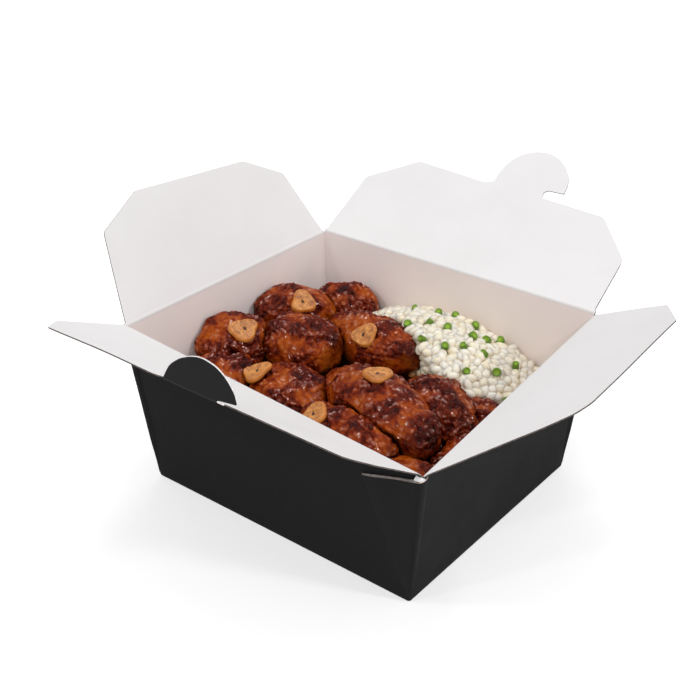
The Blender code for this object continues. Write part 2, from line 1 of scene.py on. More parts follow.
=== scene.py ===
# Open folded takeaway box of coated board, black outside and white inside, holding glazed
# chicken pieces, garlic slices and a heap of rice with chopped greens.
# Shapes are worked out in millimetres and put into the meshes in metres.
import math

import bpy
import numpy as np
from mathutils import Matrix


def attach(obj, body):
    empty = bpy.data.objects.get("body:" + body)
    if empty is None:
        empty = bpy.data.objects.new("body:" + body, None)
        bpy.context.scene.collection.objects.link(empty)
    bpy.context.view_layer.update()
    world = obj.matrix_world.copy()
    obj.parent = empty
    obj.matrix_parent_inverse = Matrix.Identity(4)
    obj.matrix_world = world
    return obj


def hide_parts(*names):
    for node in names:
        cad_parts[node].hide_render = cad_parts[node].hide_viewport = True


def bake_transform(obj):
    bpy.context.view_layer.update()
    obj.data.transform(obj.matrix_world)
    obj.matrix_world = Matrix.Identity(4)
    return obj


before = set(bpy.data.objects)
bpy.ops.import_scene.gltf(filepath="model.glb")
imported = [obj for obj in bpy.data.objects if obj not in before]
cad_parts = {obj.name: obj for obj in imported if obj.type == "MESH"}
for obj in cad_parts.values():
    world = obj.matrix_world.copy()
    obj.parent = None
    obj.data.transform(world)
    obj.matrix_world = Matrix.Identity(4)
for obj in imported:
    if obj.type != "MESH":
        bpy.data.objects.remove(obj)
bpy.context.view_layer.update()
print("frame loaded with", len(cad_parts), "nodes")

mm = 0.001
# the camera: angles in degrees, and in mm its distance, its shifts in its own plane and the height aimed at
view = {"azimuth": 38.68, "elevation": 28.48, "roll": -0.31, "distance": 411.3, "right": -4.25, "up": 17.05,
        "aimHeight": 31.75, "lens": 58.73, "sensor": 36.0}


# Meshes from arrays

def putMesh(name, points, faceSets, materials, slots=None, sharp=None):
    # points: n x 3 in mm; faceSets: arrays of vertex rows; slots: material number of each face;
    # sharp: the angle in degrees from which an edge is left hard
    mesh = bpy.data.meshes.new(name)
    mesh.vertices.add(len(points))
    mesh.vertices.foreach_set("co", (np.asarray(points, float) * mm).ravel())
    corners = np.concatenate([faces.ravel() for faces in faceSets])
    sizes = np.concatenate([np.full(len(faces), faces.shape[1]) for faces in faceSets])
    mesh.loops.add(len(corners))
    mesh.loops.foreach_set("vertex_index", corners.astype(np.int32))
    mesh.polygons.add(len(sizes))
    mesh.polygons.foreach_set("loop_start", np.concatenate([[0], np.cumsum(sizes)[:-1]]).astype(np.int32))
    if slots is not None:
        mesh.polygons.foreach_set("material_index", np.asarray(slots, np.int32))
    mesh.polygons.foreach_set("use_smooth", np.full(len(sizes), True))
    mesh.update(calc_edges=True)
    mesh.validate()
    if sharp:
        mesh.set_sharp_from_angle(angle=math.radians(sharp))
    for entry in materials:
        mesh.materials.append(entry)
    piece = bpy.data.objects.new(name, mesh)
    bpy.context.scene.collection.objects.link(piece)
    return piece


def gridQuads(rows, columns, closed=False):
    # rows x columns points, numbered row by row; closed joins the last column to the first
    row = np.arange(rows - 1)[:, None]
    column = np.arange(columns if closed else columns - 1)[None, :]
    ahead = (column + 1) % columns
    low, high = row * columns, (row + 1) * columns
    return np.stack([low + column, low + ahead, high + ahead, high + column], -1).reshape(-1, 4)


def weld(points, faces):
    # joins equal points, and returns the points left with the faces renumbered
    keys = np.round(points, 4)
    unused, first, back = np.unique(keys, axis=0, return_index=True, return_inverse=True)
    return points[first], back.reshape(-1)[faces]


def addAttribute(piece, name, values):
    attribute = piece.data.attributes.new(name, "FLOAT", "POINT")
    attribute.data.foreach_set("value", np.asarray(values, np.float32))


def thicken(points, faces, thick, normals=None):
    # closed sheet: the faces moved half a thickness both ways, and quads round the open border
    # thick: one number, or one for each point
    if normals is None:
        normals = pointNormals(points, faces)
    half = np.broadcast_to(np.asarray(thick, float), (len(points),))[:, None] / 2
    outer, inner = points + normals * half, points - normals * half
    count = len(points)
    edges = np.concatenate([faces[:, [k, (k + 1) % faces.shape[1]]] for k in range(faces.shape[1])])
    key = np.sort(edges, axis=1) @ np.array([count, 1])
    unused, place, times = np.unique(key, return_index=True, return_counts=True)
    border = edges[place[times == 1]]
    rim = np.stack([border[:, 1], border[:, 0], border[:, 0] + count, border[:, 1] + count], -1)
    flipped = faces[:, ::-1] + count
    slots = np.concatenate([np.zeros(len(faces)), np.ones(len(faces)), np.full(len(rim), 2)])
    return np.concatenate([outer, inner]), [faces, flipped, rim], slots


def pointNormals(points, faces):
    # sum of the normals of the faces at each point, made one long
    a, b, c = (points[faces[:, k]] for k in (0, 1, 2))
    d = points[faces[:, -1]]
    across = np.cross(c - a, d - b) if faces.shape[1] == 4 else np.cross(b - a, c - a)
    normals = np.zeros_like(points)
    for k in range(faces.shape[1]):
        np.add.at(normals, faces[:, k], across)
    return normals / np.maximum(np.linalg.norm(normals, axis=1, keepdims=True), 1e-12)


# Noise on arrays of points

shuffle = np.random.default_rng(11).permutation(256)
slopes = np.random.default_rng(12).normal(size=(256, 3))
slopes /= np.linalg.norm(slopes, axis=1, keepdims=True)


def noise(points):
    # gradient noise: the slopes at the eight corners of a point's cell, blended by a smooth step
    cell = np.floor(points).astype(int)
    part = points - cell
    fade = part ** 3 * (part * (part * 6 - 15) + 10)
    total = np.zeros(len(points))
    for corner in range(8):
        step = np.array([corner & 1, (corner >> 1) & 1, corner >> 2])
        x, y, z = ((cell + step) & 255).T
        slope = slopes[shuffle[(shuffle[(shuffle[x] + y) & 255] + z) & 255]]
        weight = np.where(step, fade, 1 - fade).prod(axis=1)
        total += weight * (slope * (part - step)).sum(axis=1)
    return total * 1.6


def layered(points, size, octaves=3):
    # noise of a size in mm, plus finer and weaker layers
    total = np.zeros(len(points))
    for k in range(octaves):
        total += noise(points * 2 ** k / size + 17.3 * k) * 0.5 ** k
    return total


nearby = np.random.default_rng(13).uniform(-1.0, 1.0, (256, 3)) * 0.42


def pebbles(points, size, seed):
    # distance to the nearest of a cloud of seeded points, one in each cell of a size, in cells
    at = points / size
    cell = np.floor(at).astype(int)
    near = np.full(len(points), 9.0)
    for step in np.ndindex(3, 3, 3):
        which = cell + np.array(step) - 1
        x, y, z = (which & 255).T
        key = shuffle[(shuffle[(shuffle[(x + seed) & 255] + y) & 255] + z) & 255]
        near = np.minimum(near, ((at - which - 0.5 - nearby[key]) ** 2).sum(axis=1))
    return np.sqrt(near)


# Materials

def newMaterial(name):
    made = bpy.data.materials.new(name)
    made.use_nodes = True
    return made, made.node_tree, made.node_tree.nodes["Principled BSDF"]


def connect(tree, source, socket):
    # links an output to the socket, or sets the socket to a plain value
    if isinstance(source, bpy.types.NodeSocket):
        tree.links.new(source, socket)
    else:
        socket.default_value = source


def addNode(tree, kind, links=(), **values):
    # a node with its properties set, and its inputs set or linked by name or number
    node = tree.nodes.new(kind)
    for key, value in values.items():
        setattr(node, key, value)
    for name, source in links:
        connect(tree, source, node.inputs[name])
    return node


def objectPlace(tree):
    return addNode(tree, "ShaderNodeTexCoord").outputs["Object"]


def grain(tree, scale, detail=3.0, rough=0.6, place=None):
    source = place or objectPlace(tree)
    links = (("Vector", source), ("Scale", scale), ("Detail", detail), ("Roughness", rough))
    return addNode(tree, "ShaderNodeTexNoise", links).outputs["Fac"]


def attributeOf(tree, name):
    return addNode(tree, "ShaderNodeAttribute", attribute_name=name).outputs["Fac"]


def tones(tree, factor, stops):
    ramp = addNode(tree, "ShaderNodeValToRGB", (("Fac", factor),))
    elements = ramp.color_ramp.elements
    while len(elements) < len(stops):
        elements.new(0.5)
    for element, (place, colour) in zip(elements, stops):
        element.position = place
        element.color = (*colour, 1.0) if len(colour) == 3 else colour
    return ramp.outputs["Color"]


def grey(value):
    return (value, value, value)


def blendColours(tree, factor, first, second, mode="MIX"):
    # 0, 6 and 7 are the node's factor and its two colours, 2 is its colour output
    links = [(number, (*source, 1.0) if isinstance(source, tuple) else source)
             for number, source in ((0, factor), (6, first), (7, second))]
    return addNode(tree, "ShaderNodeMix", links, data_type="RGBA", blend_type=mode).outputs[2]


def calculate(tree, operation, first, second=0.0, third=0.0):
    links = enumerate((first, second, third))
    return addNode(tree, "ShaderNodeMath", links, operation=operation).outputs[0]


def reliefOf(tree, shader, height, distance, strength, socket="Normal"):
    links = (("Height", height), ("Distance", distance), ("Strength", strength))
    bump = addNode(tree, "ShaderNodeBump", links)
    tree.links.new(bump.outputs["Normal"], shader.inputs[socket])


def setShader(tree, shader, **values):
    # each value is a number, a colour or an output; an underscore in a name stands for a space
    for name, value in values.items():
        connect(tree, value, shader.inputs[name.replace("_", " ")])


# Board

boardLook = {
    "black": (0.0070, 0.0070, 0.0073),
    "blackLight": (0.0100, 0.0100, 0.0104),
    "blackRough": 0.74,
    "blackSpecular": 0.075,
    "flapWhite": ((0.815, 0.801, 0.802), (0.84, 0.827, 0.829)),
    # the inside of the walls: the same white board as the flaps, coloured warmer and pinker as painted light,
    # the warm light thrown on it by the food
    "wallWhiteWarmLight": ((0.875, 0.80, 0.775), (0.91, 0.835, 0.81)),
    "whiteRough": 0.55,
    # the cut edges: dark brown, painted shade
    "shadedCutEdge": ((0.060, 0.048, 0.044), (0.13, 0.105, 0.095)),
    "webEdge": ((0.40, 0.31, 0.26), (0.72, 0.60, 0.53)),
    "tabEdge": ((0.66, 0.61, 0.59), (0.84, 0.81, 0.80)),
    "fibre": 2600.0,
}


def blackBoard():
    made, tree, shader = newMaterial("board_black")
    fine = grain(tree, boardLook["fibre"], 2.0, 0.7)
    broad = grain(tree, 60.0, 4.0, 0.6)
    colour = tones(tree, broad, ((0.3, boardLook["black"]), (0.75, boardLook["blackLight"])))
    specks = tones(tree, fine, ((0.45, grey(0.85)), (0.75, grey(1.35))))
    shade = blendColours(tree, 1.0, colour, specks, "MULTIPLY")
    rough = tones(tree, broad, ((0.3, grey(boardLook["blackRough"] - 0.05)),
                                (0.7, grey(boardLook["blackRough"] + 0.06))))
    setShader(tree, shader, Base_Color=shade, Roughness=rough, Specular_IOR_Level=boardLook["blackSpecular"])
    reliefOf(tree, shader, fine, 0.00003, 0.35)
    return made


def whiteBoard(name, shades):
    made, tree, shader = newMaterial(name)
    broad = grain(tree, 45.0, 4.0, 0.55)
    fine = grain(tree, boardLook["fibre"], 2.0, 0.6)
    colour = tones(tree, broad, ((0.3, shades[0]), (0.65, shades[1])))
    setShader(tree, shader, Base_Color=colour, Roughness=boardLook["whiteRough"], Specular_IOR_Level=0.25)
    reliefOf(tree, shader, fine, 0.00002, 0.3)
    return made


def boardEdge(name, shades):
    made, tree, shader = newMaterial(name)
    fine = grain(tree, 900.0, 3.0, 0.7)
    colour = tones(tree, fine, ((0.38, shades[0]), (0.55, shades[1])))
    setShader(tree, shader, Base_Color=colour, Roughness=0.8, Specular_IOR_Level=0.2)
    return made


# the materials of a sheet of board: its outside, its inside, its cut edges, coloured dark brown as painted
# shade, and its light edges
blackSide, shadedCutEdge = blackBoard(), boardEdge("cut_edge_shaded", boardLook["shadedCutEdge"])
flapWhite = whiteBoard("flap_white", boardLook["flapWhite"])
flapMaterials = [blackSide, flapWhite, shadedCutEdge, boardEdge("tab_edge", boardLook["tabEdge"])]
# walls: black outside; inside, the white board with painted warm light
wallMaterials = [blackSide, whiteBoard("wall_white_warm_light", boardLook["wallWhiteWarmLight"])]
webMaterials = [blackSide, flapWhite, blackSide, boardEdge("web_edge", boardLook["webEdge"])]

boxSizes = {
    "baseX": 114.0, "baseY": 97.0, "rimX": 123.5, "rimY": 108.0, "height": 63.5,
    "board": 0.5, "splay": 8.0, "sideStep": 0.8,
    "cornerRadius": 0.9, "footRadius": 0.7, "creaseReach": 0.9, "panelGap": 0.45,
    "creaseEnd": 0.35, "creaseThin": 0.06, "creaseSwell": 0.26,
    "meanSide": 110.0, "sideSteps": 14, "cornerSteps": 6, "wallSteps": 24, "footSteps": 5, "bulge": 0.25,
}
halfBoard = boxSizes["board"] / 2


def boxCorners():
    # rim corners; the front right one leans out, and drops so that its edge keeps its length
    b = boxSizes
    leanX, leanY = (b["rimX"] - b["baseX"]) / 2, (b["rimY"] - b["baseY"]) / 2
    edge = b["height"] ** 2 + leanX ** 2 + leanY ** 2
    drop = math.sqrt(edge - (leanX + b["splay"]) ** 2 - (leanY + b["splay"]) ** 2)
    x, y, z, s = b["rimX"] / 2, b["rimY"] / 2, b["height"], b["splay"]
    rim = {"fl": (-x, -y, z), "fr": (x + s, -y - s, drop), "br": (x, y, z), "bl": (-x, y, z)}
    x, y = b["baseX"] / 2, b["baseY"] / 2
    base = {"fl": (-x, -y, halfBoard), "fr": (x, -y, halfBoard),
            "br": (x, y, halfBoard), "bl": (-x, y, halfBoard)}
    return ({key: np.array(value) for key, value in rim.items()},
            {key: np.array(value) for key, value in base.items()})


rimCorner, baseCorner = boxCorners()


def unit(vector):
    return np.asarray(vector, float) / np.linalg.norm(vector)


def onEdge(corner, below):
    # point on a corner edge, a distance below the rim
    return rimCorner[corner] + unit(baseCorner[corner] - rimCorner[corner]) * below


def unitRows(vectors):
    return vectors / np.maximum(np.linalg.norm(vectors, axis=-1, keepdims=True), 1e-9)


def bow(t, first, middle, last):
    # quadratic curve from first to last, pulled towards middle
    return (1 - t) ** 2 * first + 2 * t * (1 - t) * middle + t ** 2 * last


def ringAt(rise):
    # closed ring round the walls: straight sides joined by quadratic curves at the corners
    # rise: 0 at the base, 1 at the rim, one number for each point of the ring
    perSide, perCorner = boxSizes["sideSteps"], boxSizes["cornerSteps"]
    margin = boxSizes["cornerRadius"] / boxSizes["meanSide"]
    names = ("fl", "fr", "br", "bl")
    corners = np.array([baseCorner[n] for n in names]), np.array([rimCorner[n] for n in names])
    points = []
    count = 0
    total = 4 * (perSide + perCorner)
    level = np.broadcast_to(rise, (total,))
    for k in range(4):
        here, ahead, behind = k, (k + 1) % 4, (k - 1) % 4

        def at(which, share):
            return corners[0][which] + (corners[1][which] - corners[0][which]) * share[:, None]

        bend = level[count:count + perCorner]
        t = (np.arange(perCorner) / perCorner)[:, None]
        corner = at(here, bend)
        start = corner + (at(behind, bend) - corner) * margin
        end = corner + (at(ahead, bend) - corner) * margin
        points.append(bow(t, start, corner, end))
        count += perCorner
        side = level[count:count + perSide]
        t = (np.arange(perSide) / perSide)[:, None]
        share = margin + (1 - 2 * margin) * t
        points.append(at(here, side) * (1 - share) + at(ahead, side) * share)
        count += perSide
    return np.concatenate(points)


def makeTray():
    # rings from the middle of the base out to the foot, round its fold and up the walls
    b = boxSizes
    foot, gap = b["footRadius"], b["panelGap"]
    steps = b["sideSteps"] + b["cornerSteps"]
    total, curved = 4 * steps, b["cornerSteps"] / steps
    place = np.arange(total) / steps
    within = place - np.floor(place)
    low = np.where(place.astype(int) % 2 == 1, b["sideStep"] + gap, gap)
    before = np.roll(low, steps)
    low = np.where(within < curved, before + (low - before) * within / curved, low)
    top = 1 - low / (b["height"] - halfBoard)
    rings = []
    ground = ringAt(0.0)
    middle = ground.mean(axis=0)
    for share in (0.02, 0.35, 0.7, 0.9):
        rings.append(middle + (ground - middle) * share)
    inward = unitRows(middle - ground)
    for turn in np.linspace(0, math.pi / 2, b["footSteps"] + 1):
        wall = ringAt(foot * (1 - math.cos(turn)) / b["height"])
        rings.append(wall + inward * foot * (1 - math.sin(turn)))
    start = foot / b["height"]
    for k in range(1, b["wallSteps"] + 1):
        rings.append(ringAt(start + (top - start) * k / b["wallSteps"]))
    points = np.concatenate(rings)
    faces = gridQuads(len(rings), total, closed=True)
    cap = np.stack([np.zeros(total - 2), np.arange(2, total), np.arange(1, total - 1)], -1).astype(int)
    bulge = layered(points, 60.0, 2) * b["bulge"] * np.clip(points[:, 2] / 20.0, 0, 1) \
        * np.clip((b["height"] - points[:, 2]) / 12.0, 0, 1)
    alongWall = np.clip((within - curved) / (1 - curved), 0, 1)
    bulge = bulge * np.tile(np.sin(alongWall * math.pi), len(rings))
    normals = pointNormals(points, faces)
    points = points + normals * bulge[:, None]
    shell, faceSets, slots = thicken(points, faces, b["board"], normals)
    count = len(points)
    rim = faceSets[2]
    keep = (rim[:, 0] >= total) | (rim[:, 1] >= total)
    faceSets = [faceSets[0], faceSets[1], rim[keep], cap, cap[:, ::-1] + count]
    slots = np.concatenate([slots[:2 * len(faces)], np.zeros(keep.sum() + len(cap)), np.ones(len(cap))])
    tray = putMesh("box_walls", shell, faceSets, wallMaterials, slots, 50)
    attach(tray, "box")
    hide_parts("tray")


makeTray()
print("walls and base made")

# Corner webs: a folded double layer lying on a wall, open along its top edge

webSizes = {"width": 21.0, "drop": 11.5, "top": 1.85, "sideShare": 0.55, "near": 0.62, "stand": 1.35,
            "tipStand": 1.25, "round": 0.9, "lap": 4.0, "wave": 0.14, "board": 0.42, "rows": 48, "growth": 2.2,
            "foldFrom": 0.95, "innerGap": 0.10}
webPlaces = (("web_front", "fr", "fl", "br", (0, -1, 0), (1, 0, 0)),
             ("web_left", "fl", "bl", "fr", (-1, 0, 0), (0, -1, 0)),
             ("web_back_left", "bl", "br", "fl", (0, 1, 0), (-1, 0, 0)),
             ("web_back_right", "br", "bl", "fr", (0, 1, 0), (1, 0, 0)))


def makeWeb(name, corner, toward, beside, outward, sideways):
    # a: 0 at the bottom corner, 1 at the top edge. Each row starts inside the neighbouring wall's board,
    # turns round the corner, runs to the slanted fold at b = 1 and comes back as the inner layer
    w = webSizes
    outward, sideways = np.asarray(outward, float), np.asarray(sideways, float) * w["sideShare"]
    low = baseCorner[corner] + (rimCorner[corner] - baseCorner[corner]) * 0.015
    top = onEdge(corner, w["top"])
    along = unit(rimCorner[toward] - rimCorner[corner])
    back = unit(rimCorner[beside] - rimCorner[corner])
    down = unit(baseCorner[corner] - rimCorner[corner])
    tip = rimCorner[corner] + along * w["width"] + down * w["drop"]
    a = np.linspace(0.004, 1.0, w["rows"])[:, None, None]
    edge = low + (top - low) * a
    reach = (tip - top) * a
    length = np.linalg.norm(reach, axis=2, keepdims=True)
    turn = np.minimum(w["round"], 0.4 * length)
    grown = a ** w["growth"]
    sunk = np.clip(a * 4.0, 0, 1) ** 0.7

    def standAt(b):
        wave = w["wave"] * a ** 5 * np.sin(b * 9.0 + 1.0)
        lift = w["near"] + 0.12 + (w["stand"] + (w["tipStand"] - w["stand"]) * b - w["near"]) * grown + wave
        return lift * sunk

    t = np.linspace(0, 1, 8)[None, :-1, None]
    lap = turn + (w["lap"] - turn) * (1 - t) * np.minimum(a * 3.0, 1.0)
    lapped = edge + back * lap + sideways * standAt(0.0) * t ** 2 * (3 - 2 * t)
    t = np.linspace(0, 1, 9)[None, :, None]
    first = edge + back * turn + sideways * standAt(0.0)
    last = edge + reach * turn / length + outward * standAt(turn / length)
    middle = edge + (outward + sideways) * standAt(0.0)
    rounded = bow(t, first, middle, last)
    start, fold = turn / length, w["foldFrom"]
    b = start + (fold - start) * np.linspace(0, 1, 20)[None, 1:, None]
    outer = edge + reach * b + outward * standAt(b)
    swing = np.linspace(0, math.pi, 9)[None, 1:, None]
    inside = (w["near"] - w["innerGap"]) * sunk
    b = fold + (1 - fold) * np.sin(swing)
    mid, half = (standAt(fold) + inside) / 2, (standAt(fold) - inside) / 2
    folded = edge + reach * b + outward * (mid + half * np.cos(swing))
    end = np.minimum(2.0 * turn / length, 0.8)
    b = 0.90 + (end - 0.90) * np.linspace(0, 1, 14)[None, :, None]
    inner = edge + reach * b + outward * inside
    rows = np.concatenate([np.broadcast_to(part, (len(a), part.shape[1], 3))
                           for part in (lapped, rounded, outer, folded, inner)], axis=1)
    faces = gridQuads(*rows.shape[:2])
    flat = rows.reshape(-1, 3)
    # the sheet's outside is where the outer layer looks, here near its top
    outerPoint = rows.shape[1] * (w["rows"] - 8) + 22
    if pointNormals(flat, faces)[outerPoint] @ outward < 0:
        faces = faces[:, ::-1]
    thick = np.full(rows.shape[:2], w["board"])
    thick[:, :7] *= 0.2 + 0.8 * np.linspace(0, 1, 8)[:-1]
    thick *= 0.3 + 0.7 * sunk[..., 0]
    shell, faceSets, slots = thicken(flat, faces, thick.ravel())
    rim = faceSets[2]
    last = (len(a) - 1) * rows.shape[1]
    atTop = (rim[:, 0] >= last) & (rim[:, 1] >= last) & (rim[:, 0] < len(flat)) & (rim[:, 1] < len(flat))
    slots[len(slots) - len(rim):] = np.where(atTop, 3, 2)
    web = putMesh(name, shell, faceSets, webMaterials, slots, 50)
    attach(web, "box")


lipSizes = {"reach": 1.9, "sideReach": 0.85, "sideDrop": 1.3, "cornerDrop": 0.6, "frontDrop": 0.4,
            "outerDrop": 0.15, "rise": 0.08, "board": 0.3}


def makeCornerLip():
    # the board's white face, turned out between the two flaps to the web's top edge:
    # two quadratic curves round the corner, joined by straight lines that rise a little in the middle
    w, sizes = webSizes, lipSizes
    corner, top = rimCorner["fr"], onEdge("fr", w["top"])
    along, back = unit(rimCorner["fl"] - corner), unit(rimCorner["br"] - corner)
    front, side = np.array([0, -1.0, 0]) * w["stand"], np.array([1.0, 0, 0]) * w["stand"] * w["sideShare"]
    t = np.linspace(0, 1, 15)[:, None]
    sideways, forward, upward = back * sizes["sideReach"], along * sizes["reach"], np.array([0, 0, 1.0])
    inner = bow(t, corner + sideways - upward * sizes["sideDrop"], corner - upward * sizes["cornerDrop"],
                corner + forward - upward * sizes["frontDrop"])
    outer = bow(t, top + sideways + side, top + side + front, top + forward + front)
    outer = outer - upward * sizes["outerDrop"]
    s = np.linspace(0, 1, 9)[None, :, None]
    points = inner[:, None] * (1 - s) + outer[:, None] * s + upward * sizes["rise"] * np.sin(math.pi * s)
    flat, faces = points.reshape(-1, 3), gridQuads(15, 9)
    if pointNormals(flat, faces)[60, 2] > 0:
        faces = faces[:, ::-1]
    shell, faceSets, slots = thicken(flat, faces, sizes["board"])
    lip = putMesh("corner_lip", shell, faceSets, [blackSide, flapWhite, flapWhite], slots, 50)
    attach(lip, "box")


for spec in webPlaces:
    makeWeb(*spec)
makeCornerLip()
print("corner webs made")


# Flaps

# edge: the outline from one end of the crease to the other, as points along it and away from it, each with
# the radius of its corner; sides: the two sides of a tab, from its root to its tip
flapSizes = {"inset": 0.9, "cut": 0.45, "board": 0.42, "columnWidth": 2.0, "rows": 18, "tabRows": 64,
             "tabColumns": 18, "ripple": 0.35, "rippleSize": 38.0}
flaps = {
    "flap_left": {
        "body": "left_flap", "corners": ("fl", "bl"), "step": boxSizes["sideStep"],
        "angle": 60.0, "curl": 0.9,
        "edge": [(8.2, 32.4, 1.2), (27.6, 41.9, 1.2), (81.0, 38.2, 1.6), (99.0, 28.0, 1.4)]},
    "flap_right": {
        "body": "right_flap", "corners": ("br", "fr"), "step": boxSizes["sideStep"],
        "angle": 28.5, "curl": -0.6,
        "edge": [(6.4, 30.4, 1.6), (24.2, 40.7, 1.2), (81.4, 37.7, 2.0), (87.3, 35.3, 2.0), (93.8, 29.0, 3.0)]},
    "flap_back": {
        "body": "back_flap", "corners": ("bl", "br"), "step": 0.0, "angle": 31.0, "curl": 0.8,
        "edge": [(2.0, 30.0, 1.5), (21.0, 43.8, 1.5), (53.6, 41.7, 1.8), (57.0, 43.4, 0),
                 (79.4, 43.4, 0), (80.0, 40.9, 1.0), (106.8, 39.4, 1.6), (122.2, 23.9, 3.0)],
        "root": (57.0, 79.4),
        "sides": ([(57.0, 43.4, 0), (56.9, 48.2, 3.0), (58.2, 53.9, 3.0), (61.7, 58.6, 3.0), (67.2, 61.2, 3.0),
                   (70.2, 61.5, 0)],
                  [(79.4, 43.4, 0), (80.4, 44.8, 0.9), (87.4, 44.9, 0.7), (86.9, 49.4, 2.2), (85.2, 53.2, 2.2),
                   (81.7, 57.4, 2.6), (77.4, 60.3, 2.6), (72.2, 61.7, 0)])},
    "flap_front": {
        "body": "front_flap", "corners": ("fr", "fl"), "step": 0.0, "angle": 29.0, "curl": 0.0,
        "twist": 4.0, "bend": 41.0, "tabFrom": 62.0,
        "edge": [(129.0, 31.0, 2.0), (119.6, 41.2, 1.5), (22.0, 33.6, 8.0), (5.0, 32.0, 3.0), (2.0, 22.0, 2.0)],
        "low": (-2.9, 1.5, 1.0), "slot": (24.4, -0.4, 0.8),
        "sides": ([(-0.6, -0.4, 0), (2.2, 2.7, 1.5), (4.4, 5.7, 2.0), (8.5, 10.9, 3.5), (14.8, 16.0, 3.0),
                   (19.7, 18.5, 3.0), (22.2, 19.3, 0)],
                  [(22.9, 0.8, 0), (22.4, 1.9, 0.5), (23.5, 3.0, 0.6), (31.2, 4.5, 0.7), (32.0, 9.1, 3.0),
                   (31.0, 14.6, 3.0), (28.7, 18.3, 3.0), (24.7, 19.6, 3.0), (22.6, 19.4, 0)])},
}
frontTab = {"arc": 3.0, "depth": 35.9, "from": 81.0, "slope": 0.061, "farEnd": 95.0, "nearEnd": 61.2}


def roundedPath(points, steps=8):
    # open path whose inner corners become quadratic curves of the radius given with each point
    points = np.array(points, float)
    path = [points[0, :2][None]]
    t = np.linspace(0, 1, steps)[:, None]
    for before, here, after in zip(points[:-2], points[1:-1], points[2:]):
        corner, radius = here[:2], here[2]
        if radius <= 0:
            path.append(corner[None])
            continue
        back, ahead = before[:2] - corner, after[:2] - corner
        reach = min(radius, np.linalg.norm(back) / 2.2, np.linalg.norm(ahead) / 2.2)
        start, end = corner + unit(back) * reach, corner + unit(ahead) * reach
        path.append(bow(t, start, corner, end))
    path.append(points[-1, :2][None])
    return np.concatenate(path)


def resample(path, count):
    # points evenly spread along a path
    run = np.concatenate([[0], np.cumsum(np.linalg.norm(np.diff(path, axis=0), axis=1))])
    at = np.linspace(0, run[-1], count)
    return np.stack([np.interp(at, run, path[:, k]) for k in range(path.shape[1])], -1)


def hingeFrame(spec):
    # start, length, and directions along the crease, across the flap and out of its inner face
    start, end = (onEdge(name, spec["step"]) for name in spec["corners"])
    along = unit(end - start)
    level = unit(np.cross((0, 0, 1), along))
    if level @ (start + end) < 0:
        level = -level
    upward = np.cross(along, level)
    turn = math.radians(spec["angle"])
    across = level * math.cos(turn) + upward * math.sin(turn)
    return start, np.linalg.norm(end - start), along, across, np.cross(along, across)


def edgeLine(u, length):
    # outer edge of the front flap, where its tab bends up
    return frontTab["depth"] + frontTab["slope"] * (u - (length - frontTab["from"]))


def flapSheet(spec, length):
    # body: columns across the flap from its crease to its outer edge; tab: rows between its two sides
    inset, cut = flapSizes["inset"], flapSizes["cut"]
    edge = spec["edge"]
    sides, root = spec.get("sides"), spec.get("root")
    if "tabFrom" in spec:
        baseU = length - spec["tabFrom"]
        baseV = edgeLine(baseU, length)

        def shifted(points):
            return [(baseU - x, baseV - frontTab["slope"] * x + y, r) for x, y, r in points]

        sides = (shifted(sides[1]), shifted(sides[0]))
        low, slot = shifted([spec["low"]]), shifted([spec["slot"]])
        edge = edge[:2] + low + [sides[1][0], sides[0][0]] + slot + edge[2:]
        edge = edge[::-1]
        root = (sides[0][0][0], sides[1][0][0])
    whole = [(inset, cut, 0)] + list(edge) + [(length - inset, cut, 0)]
    border = roundedPath(whole)
    span = np.arange(inset, length - inset, flapSizes["columnWidth"])
    across = np.unique(np.round(np.concatenate([border[:, 0], span, [length - inset]]), 3))
    if sides:
        tabColumns = np.linspace(root[0], root[1], flapSizes["tabColumns"])
        across = np.concatenate([across[across < root[0] - 0.05], tabColumns, across[across > root[1] + 0.05]])
    top = np.maximum(np.interp(across, border[:, 0], border[:, 1]), cut + 0.02)
    t = np.linspace(0, 1, flapSizes["rows"])[:, None]
    points = np.stack([np.broadcast_to(across, (len(t), len(across))), cut + (top - cut) * t], -1)
    faces = gridQuads(len(t), len(across))
    points = points.reshape(-1, 2)
    if sides:
        first, second = (resample(roundedPath(side), flapSizes["tabRows"]) for side in sides)
        s = np.linspace(0, 1, flapSizes["tabColumns"])[None, :, None]
        tab = first[:, None] * (1 - s) + second[:, None] * s
        faces = np.concatenate([faces, gridQuads(*tab.shape[:2]) + len(points)])
        points = np.concatenate([points, tab.reshape(-1, 2)])
    points, faces = weld(points, faces)
    return points, faces


def besideTab(u, length):
    return (u > length - frontTab["farEnd"]) & (u < length - frontTab["nearEnd"])


def bendTab(u, v, length):
    # the tab turns up along an arc, then runs straight
    over = v - edgeLine(u, length)
    inTab = (over > 0) & besideTab(u, length)
    turn = math.radians(flaps["flap_front"]["bend"])
    radius = frontTab["arc"] / turn
    bent = np.clip(over, 0, frontTab["arc"]) / radius
    rest = np.maximum(over - frontTab["arc"], 0)
    flat = v - over + radius * np.sin(bent) + rest * math.cos(turn)
    lift = radius * (1 - np.cos(bent)) + rest * math.sin(turn)
    return np.where(inTab, flat, v), np.where(inTab, lift, 0.0)


